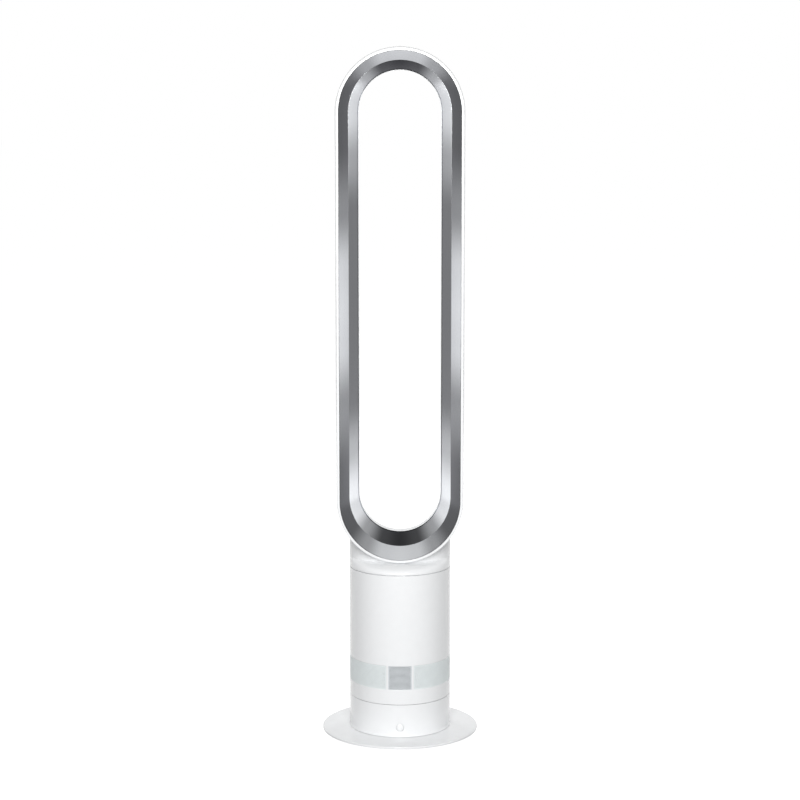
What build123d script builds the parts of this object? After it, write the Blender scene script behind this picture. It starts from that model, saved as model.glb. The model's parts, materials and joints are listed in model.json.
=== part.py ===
from build123d import *
import os
from math import asin, cos, degrees, pi, radians, sin, sqrt, tan

# Bladeless tower fan: a tall racetrack air loop on a round column, which swings on a flat round foot.
# Millimetres. Origin at the middle of the foot's underside, +Z up, the front faces -Y.

os.makedirs("parts", exist_ok=True)

# ---- Clearances ----
moving_gap = 0.3  # between pieces that move past each other
seat_gap = 0.1  # between pieces that are fitted together
running_fit = 0.05  # radial, shaft in bearing
seam_gap = 0.6  # shadow line between outer shells
press_gap = 0.02  # radial, bearing in its seat
cut_margin = 1.0  # openings are cut from this far outside a face

# ---- Outer form ----
overall_height = 1007.0
column_radius = 74.5
column_wall = 2.4
column_inside = column_radius - column_wall

# ---- Air loop ----
loop_width = 190.0
loop_depth = 110.0
loop_end_centre = 353.6  # height of the lower end's arc centre
loop_wall = 2.4
bulge_back = 35.0  # how far behind the front lip the loop is widest
lip_inset = 3.8  # the front lip is this much smaller than the widest line
rim_width = 3.8  # white rim seen round the silver band
crease_radius = 74.0
crease_depth = 40.0  # behind the front lip
throat_radius = 62.6
throat_depth = 80.0  # behind the front lip
liner_bulge = 0.5
liner_wall = 1.8
crease_gap = 0.4
tongue_length = 7.0
air_slot = 1.0
tip_wall = 1.0
hook_radius = 6.0
throat_land = 2.0  # straight before the hook
spacer_count = 5  # on each straight side
spacer_length = 4.0
spacer_height = 2.0

# ---- Collar under the loop ----
collar_bottom = 248.3
collar_half_depth = 50.0
collar_lean_height = 18.0  # over which the front and back lean in
collar_sections = 4
neck_length = 11.0
neck_wall = 2.2
duct_half_width = 56.0
duct_half_depth = 30.0
duct_corner = 24.0
duct_end_gap = 5.0  # the duct stops this far below the loop's inner wall
wall_overlap = 3.0  # how far joined walls run into each other

# ---- Body sleeve with the inlet band ----
sleeve_bottom = 55.3
band_low = 77.8
band_height = 35.3
display_width = 35.0
strip_width = 3.0  # solid strip each side of the display grille
back_post_angle = 24.0  # solid post at the back, in degrees
ledge_height = 3.0
ledge_width = 4.1
hole_rows = 3
hole_width = 5.2
hole_height = 7.6
hole_pitch = 10.2
louvre_count = 8
louvre_height = 2.0
louvre_pitch = 3.9
louvre_width = 30.0

# ---- Display behind the band ----
display_setback = 8.1  # from the column's inside to the display board's front
display_board_width = 40.0
display_board_height = 38.0
display_block_width = 26.0
display_block_height = 16.0
display_block_depth = 4.0
holder_wall = 1.5

# ---- Foot ----
foot_radius = 115.0
foot_edge_height = 3.4
foot_crown = 5.2  # top of the foot where the column stands
foot_wall = 1.6
crown_margin = 3.0  # flat ring round the column's shoulder
foot_clearance = 1.0  # the foot's edge above the floor
plate_edge_gap = 5.4  # between the plate and the foot's wall
plate_wall = 1.2
plate_inset = 0.2  # the plate lies this far above the foot's edge
pad_count = 6
pad_radius = 6.0
pad_edge_gap = 6.0  # from the pads to the plate's edge
base_screw_count = 4
base_screw_setback = 10.1  # from the column's inside to the screws
foot_hole = 50.0
foot_edge_bevel = 0.8
pad_chamfer = 0.5
screw_radius = 1.5
screw_hole = 1.7
screw_head_radius = 3.2
screw_head_height = 0.8
screw_length = 16.0

# ---- Base housing and what it holds ----
base_shoulder = 1.6
base_shoulder_height = 3.0
chassis_low = 34.0
chassis_wall = 2.5
post_radius = 4.5
button_height = 21.0
button_radius = 5.5
button_flange = 1.5
button_flange_radius = 7.0
button_travel = 1.2
button_proud = 0.3
button_bevel = 0.4
stem_radius = 2.0
stem_length = 1.8
dome_radius = 5.2
dome_wall = 0.8
dome_length = 7.8
plunger_radius = 1.7
switch_board_width = 30.0
switch_board_drop = 11.0
rib_height = 6.0
rib_wall = 1.6
rib_gap = 1.0  # between the ribs and the retaining ring
board_wall = 1.6
switch_size = 6.0
switch_height = 3.5
gland_height = 19.0
gland_radius = 6.5
gland_bore = 3.6
gland_flange = 1.8
gland_flange_radius = 8.5

# ---- Swivel ----
turntable_low = 45.0
turntable_wall = 2.5
turntable_rim_gap = 1.2  # from the turntable's rim to the column's inside
turntable_rim_wall = 2.2
turntable_rim_top = 64.0
spigot_radius = 20.0
spigot_wall = 3.5
spigot_low = 30.0
bush_wall = 2.0
bush_flange = 4.0
bush_flange_height = 1.4
boss_wall = 3.5
retainer_wall = 2.5
retainer_radius = 27.0
glide_inner = 58.0
glide_width = 5.0
glide_height = 2.4
gear_module = 1.5
sector_full_teeth = 48
sector_side_teeth = 7  # teeth each side of the middle one
sector_inner = 29.0
sector_height = 6.0
pinion_teeth = 12
pinion_height = 5.0
gear_backlash = 0.5
tooth_tip = 0.85  # addendum in modules
tooth_root = 1.15  # dedendum in modules
pressure_slope = tan(radians(20))
drive_motor_radius = 14.0
drive_motor_height = 17.0
drive_shaft_radius = 2.5
shaft_depth = 3.5
shaft_opening_gap = 1.5
ear_wall = 1.0
ear_span = 14.0
ear_width = 7.0
board_margin = 10.0
board_post_radius = 3.0
control_board_width = 90.0
control_board_depth = 60.0
control_board_low = 58.0
transformer_size = (24.0, 20.0, 14.0)
transformer_place = (-22.0, 8.0)
relay_size = (18.0, 10.0, 8.0)
relay_place = (14.0, 8.0)
capacitor_radius = 6.0
capacitor_height = 12.0
capacitor_place = (14.0, -12.0)

# ---- Fan ----
inlet_radius = 40.0
inlet_lip_radius = 48.0
inlet_low = 116.0
cone_low = 126.0
cone_high = 160.0
duct_setback = 8.1  # from the column's inside to the duct's inside
duct_wall = 2.0
duct_flange = 2.0
blade_count = 9
blade_wall = 1.6
blade_sweep = 40.0  # degrees from root to tip
blade_bow = 26.0  # degrees at the blade's middle
blade_tip_gap = 0.8
blade_root_bite = 1.0  # the blades start this far inside the hub
blade_lead = 1.0  # the blades start this far above the cone's lower end
hub_low = 124.0
hub_high = 156.0
hub_low_radius = 12.0
hub_high_radius = 42.0
hub_wall = 2.0
hub_boss = 6.0
vane_count = 11
vane_low = 176.0
vane_height = 30.0
vane_wall = 1.6
vane_lean = 9.0
vane_inset = 0.5  # the vanes end this far inside the rings' outer faces
bucket_radius = 36.0
bucket_wall = 2.0
bucket_low = 158.0
bucket_split = 190.0
bucket_cup = 32.0  # height of the upper cup
bucket_ring_wall = 2.0
bucket_bevel = 16.0  # the upper cup's cone
shaft_hole_gap = 1.0
shaft_radius = 2.5
bearing_radius = 8.0
bearing_height = 5.0
stator_radius = 24.0
stator_height = 16.0
stator_slots = 6
stator_slot_start = 2.0  # outside the bore
stator_slot_length = 6.0
stator_slot_width = 5.0
rotor_radius = 12.0
rotor_gap = 0.6
rotor_inset = 1.0  # the rotor is this much shorter than the stator at each end
bearing_spacing = 2.0  # from a bearing to the stator
shaft_stub = 2.0  # the shaft's end below the hub
bracket_lap = 1.0
bracket_wall = 2.0
foam_low = 168.0
foam_high = 214.0
gasket_width = 4.0
gasket_height = 5.5
mount_ring_height = 3.0
motor_board_radius = 26.0

# ---- Places worked out from the sizes above ----
loop_radius = loop_width / 2
loop_front = -loop_depth / 2
loop_back = loop_depth / 2
loop_high_centre = overall_height - loop_radius
loop_middle = (loop_end_centre + loop_high_centre) / 2
lip_radius = loop_radius - lip_inset
bezel_radius = lip_radius - rim_width
bulge_y = loop_front + bulge_back
crease_y = loop_front + crease_depth
throat_y = loop_front + throat_depth
tip_radius = throat_radius - air_slot - tip_wall
nose_radius = (loop_radius - tip_radius) / 2
nose_centre = (loop_radius + tip_radius) / 2
nose_y = loop_back - nose_radius
sleeve_top = collar_bottom - seam_gap
base_top = sleeve_bottom - seam_gap
foot_top = foot_clearance + foot_crown
plate_radius = foot_radius - foot_wall - plate_edge_gap
pad_circle = plate_radius - pad_edge_gap - pad_radius
ledge_inner = column_inside - ledge_width
duct_radius = column_inside - duct_setback
turntable_rim = column_inside - turntable_rim_gap
base_screw_circle = column_inside - base_screw_setback
display_board_front = display_setback - column_inside
bucket_top = bucket_split + bucket_cup
duct_top = collar_bottom - neck_length - gasket_height
ledge_top = duct_top - duct_flange - mount_ring_height
chassis_top = chassis_low + chassis_wall
bush_radius = spigot_radius + running_fit
boss_inner = bush_radius + bush_wall
boss_outer = boss_inner + boss_wall
boss_top = turntable_low - moving_gap - bush_flange_height
boss_low = spigot_low + retainer_wall + moving_gap
glide_top = turntable_low - moving_gap
glide_low = glide_top - glide_height
sector_pitch = gear_module * sector_full_teeth / 2
pinion_pitch = gear_module * pinion_teeth / 2
gear_centres = sector_pitch + pinion_pitch
sector_low = turntable_low - sector_height
motor_top = chassis_low
plate_low = foot_clearance + plate_inset
plate_top = plate_low + plate_wall
axle = Axis.Z
front_seat = (Align.CENTER, Align.MIN, Align.CENTER)
back_seat = (Align.CENTER, Align.MAX, Align.CENTER)
floor_seat = (Align.CENTER, Align.CENTER, Align.MIN)
under_seat = (Align.CENTER, Align.CENTER, Align.MAX)


def save(name, piece):
    """Label one finished piece and write it to its own file."""
    piece.part.label = name
    export_step(piece.part, f"parts/{name}.step")


def closed(*points):
    """A closed straight-sided outline in the open line."""
    Polyline(*points, close=True)


def turned(*points):
    """A solid of revolution about the column's axis, from (radius, height) corners."""
    with BuildPart() as solid:
        with BuildSketch(Plane.XZ):
            with BuildLine():
                closed(*points)
            make_face()
        revolve(axis=axle)
    return solid


def ring(outer, inner, low, high):
    """A plain ring or tube about the column's axis."""
    return turned((inner, low), (outer, low), (outer, high), (inner, high))


# ---------------------------------------------------------------- air loop


def shell_outline():
    """Section of the white shell: front lip, bulged side, half-round back, tip beside the air slot."""
    inside = loop_radius - loop_wall
    TangentArc((loop_radius, bulge_y), (lip_radius, loop_front), tangent=(0, -1))
    Line((loop_radius, bulge_y), (loop_radius, nose_y))
    ThreePointArc((loop_radius, nose_y), (nose_centre, loop_back), (tip_radius, nose_y))
    Polyline((tip_radius, nose_y), (tip_radius, throat_y), (tip_radius + tip_wall, throat_y))
    inner_nose = nose_radius - loop_wall
    Polyline(
        (tip_radius + tip_wall, throat_y),
        (tip_radius + loop_wall, nose_y),
        (nose_centre - inner_nose / 2, nose_y + inner_nose * cos(radians(30))),
        (nose_centre + inner_nose / 2, nose_y + inner_nose * cos(radians(30))),
        (inside, nose_y),
        (inside, bulge_y),
        (bezel_radius + seat_gap, loop_front),
        (lip_radius, loop_front),
    )


def bezel_direction():
    """Unit vector down the front band, from its lip to the crease, and the normal behind it."""
    along = Vector(crease_radius - bezel_radius, crease_y - loop_front).normalized()
    return along, Vector(along.Y, -along.X)


def bezel_outline():
    """Section of the front silver band, from the lip to just before the crease."""
    along, behind = bezel_direction()
    lip = Vector(bezel_radius, loop_front)
    end = Vector(crease_radius, crease_y) - along * crease_gap
    back = lip + behind * liner_wall
    foot = back + along * ((back.X - bezel_radius) / -along.X)
    closed(lip, end, end + behind * liner_wall, foot)


def liner_outline():
    """Section of the inner silver band: crease to throat, hook into the duct, tongue behind the bezel."""
    along, behind = bezel_direction()
    crease = Vector(crease_radius, crease_y)
    throat = Vector(throat_radius, throat_y)
    slope = (throat - crease).normalized()
    outward = Vector(slope.Y, -slope.X)
    middle = (crease + throat) * 0.5 - outward * liner_bulge
    hook_start = throat + Vector(0, throat_land)
    hook_end = hook_start + Vector(hook_radius, hook_radius)
    hook_in = hook_end - Vector(0, liner_wall)
    hook_out = hook_start + Vector(liner_wall, 0)
    corner = cos(radians(45))
    hook_mid = hook_start + Vector(hook_radius * (1 - corner), hook_radius * corner)
    inner_radius = hook_radius - liner_wall
    hook_back = hook_out + Vector(inner_radius * (1 - corner), inner_radius * corner)
    tongue = crease + behind * (liner_wall + seat_gap) - along * tongue_length
    tongue_back = tongue + behind * liner_wall
    knee = crease + behind * (liner_wall + seat_gap) + along * seat_gap
    knee_back = crease + behind * (2 * liner_wall + seat_gap) + along * liner_wall
    ThreePointArc(crease, middle, throat)
    Polyline(throat, hook_start, hook_mid, hook_end, hook_in, hook_back, hook_out)
    Polyline(hook_out, throat + Vector(liner_wall, 0), knee_back, tongue_back, tongue, knee, crease)


def around_loop(outline):
    """Carry a section, drawn as (distance from the centre line, depth), round the whole racetrack."""
    low_axis = Axis((0, 0, loop_end_centre), (0, 1, 0))
    with BuildPart() as half:
        with BuildSketch(Plane.XY.offset(loop_end_centre)) as section:
            with BuildLine():
                outline()
            make_face()
        extrude(amount=loop_middle - loop_end_centre)
        mirror(about=Plane.YZ)
        revolve(section.sketch, axis=low_axis, revolution_arc=180)
    with BuildPart() as whole:
        add(half.part)
        mirror(about=Plane.XY.offset(loop_middle))
    return whole


def loop_shell():
    """White shell of the loop, open underneath where the air comes up from the collar."""
    duct_start = loop_end_centre - loop_radius - cut_margin
    duct_end = loop_end_centre - tip_radius - loop_wall - duct_end_gap
    with BuildPart() as shell:
        add(around_loop(shell_outline).part)
        with BuildSketch(Plane.XY.offset(duct_start)):
            RectangleRounded(2 * duct_half_width, 2 * duct_half_depth, duct_corner)
        extrude(amount=duct_end - duct_start, mode=Mode.SUBTRACT)
    save("loop_shell", shell)


def loop_form():
    """Half section of the space that the loop takes, a seat's gap larger than its shell."""
    side = loop_radius + seat_gap
    lip = lip_radius + seat_gap
    back = loop_back + seat_gap
    TangentArc((side, bulge_y), (lip, loop_front), tangent=(0, -1))
    Polyline((lip, loop_front), (lip, -column_radius), (0, -column_radius), (0, back), (nose_centre, back))
    RadiusArc((nose_centre, back), (side, nose_y), nose_radius + seat_gap)
    Line((side, nose_y), (side, bulge_y))


def loop_collar():
    """Collar under the loop: round at the seam, rounded in at front and back, with a neck below."""
    high = loop_end_centre - sqrt(loop_radius**2 - column_radius**2) + wall_overlap
    neck_outer = column_inside - seat_gap
    neck_inner = neck_outer - neck_wall
    inner_depth = collar_half_depth - loop_wall
    inner_top = collar_bottom + collar_lean_height * (1 - 1 / collar_sections)
    with BuildPart() as hollow:
        with BuildSketch(Plane.XY.offset(collar_bottom)):
            Circle(neck_inner)
        for height in (inner_top, high):
            with BuildSketch(Plane.XY.offset(height)):
                Ellipse(neck_inner, inner_depth)
        loft(ruled=True)
    with BuildPart() as collar:
        for turn in [quarter / collar_sections for quarter in range(collar_sections + 1)]:
            rise = collar_lean_height * sin(pi / 2 * turn)
            lean = (column_radius - collar_half_depth) * (1 - cos(pi / 2 * turn))
            with BuildSketch(Plane.XY.offset(collar_bottom + rise)):
                Ellipse(column_radius, column_radius - lean)
        with BuildSketch(Plane.XY.offset(high)):
            Ellipse(column_radius, collar_half_depth)
        loft(ruled=True)
        add(hollow.part, mode=Mode.SUBTRACT)
        add(ring(neck_outer, neck_inner, collar_bottom - neck_length, collar_bottom + wall_overlap).part)
        with BuildSketch(Plane.XY.offset(loop_end_centre)):
            with BuildLine():
                loop_form()
            make_face()
        revolve(axis=Axis((0, 0, loop_end_centre), (0, 1, 0)), revolution_arc=180, mode=Mode.SUBTRACT)
    save("loop_collar", collar)


def loop_bands():
    """The two silver bands that meet at the crease."""
    save("front_bezel", around_loop(bezel_outline))
    save("airflow_liner", around_loop(liner_outline))


def slot_spacers():
    """Small blocks that hold the air slot open along both straight sides."""
    pitch = (loop_high_centre - loop_end_centre) / (spacer_count - 1)
    lean = (loop_wall - tip_wall) * spacer_height / (nose_y - throat_y)
    start = tip_radius + tip_wall + lean + seat_gap
    end = throat_radius - seat_gap
    middle = (start + end) / 2
    with BuildPart() as spacers:
        with BuildSketch(Plane.XY.offset(loop_middle)):
            with Locations((middle, throat_y + spacer_height / 2), (-middle, throat_y + spacer_height / 2)):
                Rectangle(end - start, spacer_height)
        block = extrude(amount=spacer_length / 2, both=True, mode=Mode.PRIVATE)
        with Locations(*[(0, 0, (row - (spacer_count - 1) / 2) * pitch) for row in range(spacer_count)]):
            add(block)
    save("slot_spacers", spacers)


# ---------------------------------------------------------------- body sleeve and inlet band


def angle_at(half_width):
    """Angle, in degrees, that a width at the front of the column subtends."""
    return degrees(asin(half_width / column_radius))


def band_sector(outer, inner, start, end, low, high):
    """A stretch of ring between two angles measured from the front of the column."""
    first = radians(start - 90)
    last = radians(end - 90)
    half = (first + last) / 2
    with BuildPart() as sector:
        with BuildSketch(Plane.XY.offset(low)):
            with BuildLine():
                a = (outer * cos(first), outer * sin(first))
                b = (outer * cos(last), outer * sin(last))
                c = (inner * cos(last), inner * sin(last))
                d = (inner * cos(first), inner * sin(first))
                ThreePointArc(a, (outer * cos(half), outer * sin(half)), b)
                Line(b, c)
                ThreePointArc(c, (inner * cos(half), inner * sin(half)), d)
                Line(d, a)
            make_face()
        extrude(amount=high - low)
    return sector


display_angle = angle_at(display_width / 2)
panel_start = angle_at(display_width / 2 + strip_width)
panel_end = 180 - back_post_angle / 2
edge_angle = degrees(seat_gap / column_radius)


def body_sleeve():
    """White outer tube with the window of the display and the two long windows of the inlet band."""
    outer = column_radius + cut_margin
    inner = column_inside - cut_margin
    high = band_low + band_height
    with BuildPart() as sleeve:
        add(ring(column_radius, column_inside, sleeve_bottom, sleeve_top).part)
        add(ring(column_inside, ledge_inner, ledge_top - ledge_height, ledge_top).part)
        for start, end in (
            (-display_angle, display_angle),
            (panel_start, panel_end),
            (-panel_end, -panel_start),
        ):
            add(band_sector(outer, inner, start, end, band_low, high).part, mode=Mode.SUBTRACT)
    save("body_sleeve", sleeve)


def inlet_grille(name, side):
    """One perforated panel of the inlet band, flush in its window; side is 1 or -1."""
    low = band_low + seat_gap
    high = band_low + band_height - seat_gap
    start = panel_start + edge_angle
    end = panel_end - edge_angle
    angles = sorted((side * start, side * end))
    wall_middle = -(column_radius + column_inside) / 2
    span = end - start
    columns = int(radians(span) * column_radius / hole_pitch)
    step = span / columns
    first_row = band_low + band_height / 2 - (hole_rows - 1) * hole_pitch / 2
    places = []
    for column in range(columns):
        turn = side * (start + (column + 0.5) * step)
        for row in range(hole_rows):
            height = first_row + row * hole_pitch
            places.append(Location((0, 0, height), (0, 0, turn)) * Location((0, wall_middle, 0)))
    with BuildPart() as grille:
        add(band_sector(column_radius, column_inside, *angles, low, high).part)
        with Locations(*places):
            Box(hole_width, 3 * column_wall, hole_height, mode=Mode.SUBTRACT)
    save(name, grille)


def display_grille():
    """Finely slotted square at the front of the inlet band, in front of the display."""
    edge = display_angle - edge_angle
    low = band_low + seat_gap
    high = band_low + band_height - seat_gap
    middle = band_low + band_height / 2
    with BuildPart() as grille:
        add(band_sector(column_radius, column_inside, -edge, edge, low, high).part)
        heights = [middle + (row - (louvre_count - 1) / 2) * louvre_pitch for row in range(louvre_count)]
        with Locations(*[(0, -column_radius + column_wall, height) for height in heights]):
            Box(louvre_width, 5 * column_wall, louvre_height, mode=Mode.SUBTRACT)
    save("display_grille", grille)


def display_board():
    """Small board with the number display's block, facing the slotted square."""
    middle = band_low + band_height / 2
    with BuildPart() as board:
        with Locations((0, display_board_front, middle)):
            Box(display_board_width, board_wall, display_board_height, align=front_seat)
            Box(display_block_width, display_block_depth, display_block_height, align=back_seat)
    save("display_board", board)


def display_holder():
    """Open frame that carries the display board behind the sleeve's wall."""
    middle = band_low + band_height / 2
    frame_width = display_board_width + 2 * (seat_gap + holder_wall)
    frame_height = display_board_height + 2 * (seat_gap + holder_wall)
    front = -sqrt((column_inside - seat_gap) ** 2 - (frame_width / 2) ** 2)
    back = display_board_front + board_wall
    with BuildPart() as holder:
        with Locations((0, front, middle)):
            Box(frame_width, back - front, frame_height, align=front_seat)
            Box(
                frame_width - 2 * holder_wall,
                back - front,
                frame_height - 2 * holder_wall,
                align=front_seat,
                mode=Mode.SUBTRACT,
            )
    save("display_holder", holder)


# ---------------------------------------------------------------- fan inside the column


def impeller_housing():
    """Funnel and duct round the impeller: a flared mouth, a cone and a straight duct with a top flange."""
    mouth = inlet_lip_radius - inlet_radius
    with BuildPart() as housing:
        with BuildSketch(Plane.XZ):
            with BuildLine():
                closed(
                    (inlet_lip_radius, inlet_low),
                    (inlet_radius, inlet_low + mouth),
                    (inlet_radius, cone_low),
                    (duct_radius, cone_high),
                    (duct_radius, duct_top),
                    (column_inside - seat_gap, duct_top),
                    (column_inside - seat_gap, duct_top - duct_flange),
                    (duct_radius + duct_wall, duct_top - duct_flange),
                    (duct_radius + duct_wall, cone_high),
                    (inlet_radius + duct_wall, cone_low),
                    (inlet_radius + duct_wall, inlet_low + mouth),
                    (inlet_lip_radius + duct_wall, inlet_low),
                )
            make_face()
        revolve(axis=axle)
    save("impeller_housing", housing)


def shroud_radius(height):
    """Inside radius of the funnel at a height between the cone's ends."""
    share = (height - cone_low) / (cone_high - cone_low)
    return inlet_radius + share * (duct_radius - inlet_radius)


def hub_radius(height):
    """Outside radius of the impeller's hub at a height."""
    share = (height - hub_low) / (hub_high - hub_low)
    return hub_low_radius + share * (hub_high_radius - hub_low_radius)


def impeller():
    """Mixed-flow impeller: a cone hub with swept blades that fill the funnel."""
    leading_height = cone_low + blade_lead
    hub_skin = 1.5 * hub_wall
    hub_floor = hub_low + hub_wall
    boss_end = hub_high - 3 * hub_wall
    root = Vector(hub_low_radius - hub_skin, 0)
    middle = Vector((root.X + duct_radius) / 2, 0).rotate(Axis.Z, blade_bow)
    tip = Vector(duct_radius, 0).rotate(Axis.Z, blade_sweep)
    root_back = root - Vector(0, blade_wall)
    middle_back = middle - Vector(0, blade_wall).rotate(Axis.Z, blade_bow)
    tip_back = tip - Vector(0, blade_wall).rotate(Axis.Z, blade_sweep)
    with BuildPart() as blades:
        with BuildSketch(Plane.XY.offset(hub_low)):
            with BuildLine() as blade_edge:
                ThreePointArc(root, middle, tip)
                Line(tip, tip_back)
                ThreePointArc(tip_back, middle_back, root_back)
                Line(root_back, root)
            blade_face = make_face(blade_edge.edges(), mode=Mode.PRIVATE)
            with PolarLocations(0, blade_count):
                add(blade_face)
        extrude(amount=hub_high - hub_low)
        with BuildSketch(Plane.XZ):
            with BuildLine():
                closed(
                    (hub_radius(leading_height) - blade_root_bite, leading_height),
                    (shroud_radius(leading_height) - blade_tip_gap, leading_height),
                    (shroud_radius(hub_high) - blade_tip_gap, hub_high),
                    (hub_radius(hub_high) - blade_root_bite, hub_high),
                )
            make_face()
        revolve(axis=axle, mode=Mode.INTERSECT)
    with BuildPart() as wheel:
        with BuildSketch(Plane.XZ):
            with BuildLine():
                closed(
                    (shaft_radius, hub_low),
                    (hub_low_radius, hub_low),
                    (hub_high_radius, hub_high),
                    (hub_high_radius - hub_skin, hub_high),
                    (hub_radius(hub_floor) - hub_skin, hub_floor),
                    (hub_boss, hub_floor),
                    (hub_boss, boss_end),
                    (shaft_radius, boss_end),
                )
            make_face()
        revolve(axis=axle)
        add(blades.part)
    save("impeller", wheel)


def diffuser():
    """Ring of leaning guide vanes between the motor bucket's ring and the duct."""
    inner = bucket_radius + seat_gap
    hub_outer = inner + bucket_ring_wall
    rim_outer = duct_radius - seat_gap
    rim_inner = rim_outer - bucket_ring_wall
    high = vane_low + vane_height
    bottom = Vector(-vane_lean / 2, vane_low)
    middle = Vector(-vane_lean / 3, vane_low + vane_height / 2)
    top = Vector(vane_lean / 2, high)
    across = Vector(vane_wall, 0)
    with BuildPart() as vanes:
        with BuildSketch(Plane.YZ.offset(inner)):
            with BuildLine():
                ThreePointArc(bottom, middle, top)
                Line(top, top + across)
                ThreePointArc(top + across, middle + across, bottom + across)
                Line(bottom + across, bottom)
            make_face()
        vane = extrude(amount=rim_outer - inner, mode=Mode.PRIVATE)
        with PolarLocations(0, vane_count):
            add(vane)
        add(ring(rim_outer - vane_inset, inner + vane_inset, vane_low, high).part, mode=Mode.INTERSECT)
    with BuildPart() as cascade:
        add(vanes.part)
        add(ring(hub_outer, inner, vane_low, high).part)
        add(ring(rim_outer, rim_inner, vane_low, high).part)
    save("diffuser", cascade)


def motor_bucket():
    """Two-piece shell round the motor: a lower cup with the bearing seat and a bevelled upper cup."""
    inside = bucket_radius - bucket_wall
    floor_top = bucket_low + bucket_wall
    bearing_seat = bearing_radius + bucket_wall
    lower = turned(
        (shaft_radius + shaft_hole_gap, bucket_low),
        (bucket_radius, bucket_low),
        (bucket_radius, bucket_split),
        (inside, bucket_split),
        (inside, floor_top),
        (bearing_seat, floor_top),
        (bearing_seat, floor_top + bearing_height),
        (bearing_radius, floor_top + bearing_height),
        (bearing_radius, floor_top),
        (shaft_radius + shaft_hole_gap, floor_top),
    )
    save("motor_bucket_lower", lower)
    skew = (sqrt(2) - 1) * bucket_wall
    upper = turned(
        (inside, bucket_split + seat_gap),
        (bucket_radius, bucket_split + seat_gap),
        (bucket_radius, bucket_top - bucket_bevel),
        (bucket_radius - bucket_bevel, bucket_top),
        (0, bucket_top),
        (0, bucket_top - bucket_wall),
        (bucket_radius - bucket_bevel - skew, bucket_top - bucket_wall),
        (inside, bucket_top - bucket_bevel - skew),
    )
    save("motor_bucket_upper", upper)


def motor():
    """Stator, rotor on its shaft, two bearings and the motor's own board."""
    low_bearing = bucket_low + bucket_wall
    stator_low = low_bearing + bearing_height + bearing_spacing
    stator_high = stator_low + stator_height
    upper_low = stator_high + bearing_spacing
    inside = bucket_radius - bucket_wall
    bore = rotor_radius + rotor_gap
    with BuildPart() as stator:
        with BuildSketch(Plane.XY.offset(stator_low)):
            Circle(stator_radius)
            Circle(bore, mode=Mode.SUBTRACT)
            with PolarLocations(bore + stator_slot_start + stator_slot_length / 2, stator_slots):
                Rectangle(stator_slot_length, stator_slot_width, mode=Mode.SUBTRACT)
        extrude(amount=stator_height)
    save("motor_stator", stator)
    rotor = turned(
        (0, hub_low - shaft_stub),
        (shaft_radius, hub_low - shaft_stub),
        (shaft_radius, stator_low + rotor_inset),
        (rotor_radius, stator_low + rotor_inset),
        (rotor_radius, stator_high - rotor_inset),
        (shaft_radius, stator_high - rotor_inset),
        (shaft_radius, upper_low + bearing_height),
        (0, upper_low + bearing_height),
    )
    save("rotor_shaft", rotor)
    bore = shaft_radius + running_fit
    outside = bearing_radius - press_gap
    save("bearing_lower", ring(outside, bore, low_bearing, low_bearing + bearing_height))
    save("bearing_upper", ring(outside, bore, upper_low, upper_low + bearing_height))
    bracket = turned(
        (bearing_radius, upper_low - bracket_lap),
        (stator_radius, upper_low - bracket_lap),
        (stator_radius, stator_low),
        (inside - seat_gap, stator_low),
        (inside - seat_gap, upper_low + bracket_lap),
        (bearing_radius + bracket_wall, upper_low + bracket_lap),
        (bearing_radius + bracket_wall, upper_low + bearing_height),
        (bearing_radius, upper_low + bearing_height),
    )
    save("motor_bracket", bracket)
    board_low = upper_low + bearing_height + seat_gap
    board_hole = bearing_radius + bracket_wall / 2
    save("motor_board", ring(motor_board_radius, board_hole, board_low, board_low + board_wall))


def seals():
    """Rubber ring under the duct's flange, foam round the duct and the gasket under the loop's neck."""
    flange_under = duct_top - duct_flange
    mount = ring(column_inside - seat_gap, ledge_inner, ledge_top, flange_under)
    save("housing_mount_ring", mount)
    foam = ring(column_inside - seat_gap, duct_radius + duct_wall + seat_gap, foam_low, foam_high)
    save("acoustic_foam", foam)
    neck_low = collar_bottom - neck_length
    gasket = ring(column_inside - seat_gap, column_inside - gasket_width, duct_top, neck_low)
    save("loop_gasket", gasket)


# ---------------------------------------------------------------- foot and base housing


def base_screw_places(height):
    """Where the screws under the foot stand, at a height."""
    turns = [45 + 360 / base_screw_count * index for index in range(base_screw_count)]
    return [Vector(base_screw_circle, 0, height).rotate(Axis.Z, turn) for turn in turns]


def foot_cover():
    """Thin white disc that crowns towards the column, with a boss for each screw."""
    edge_top = foot_clearance + foot_edge_height
    crown_radius = column_radius + base_shoulder + crown_margin
    inside = foot_radius - foot_wall
    with BuildPart() as cover:
        with BuildSketch(Plane.XZ):
            with BuildLine():
                closed(
                    (foot_radius, foot_clearance),
                    (foot_radius, edge_top - foot_edge_bevel),
                    (foot_radius - foot_edge_bevel, edge_top),
                    (crown_radius, foot_top),
                    (foot_hole, foot_top),
                    (foot_hole, foot_top - foot_wall),
                    (inside, edge_top - foot_wall),
                    (inside, foot_clearance),
                )
            make_face()
        revolve(axis=axle)
        boss_height = foot_top - foot_wall / 2 - plate_top
        with Locations(*base_screw_places(plate_top)):
            Cylinder(post_radius, boss_height, align=floor_seat)
        with Locations(*base_screw_places(plate_top)):
            Cylinder(screw_hole, foot_crown, align=floor_seat, mode=Mode.SUBTRACT)
    save("foot_cover", cover)


def base_plate():
    """Flat steel disc that closes the underside of the foot."""
    with BuildPart() as plate:
        with BuildSketch(Plane.XY.offset(plate_low)):
            Circle(plate_radius)
            with Locations(*base_screw_places(0)):
                Circle(screw_hole, mode=Mode.SUBTRACT)
        extrude(amount=plate_wall)
    save("base_plate", plate)


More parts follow.
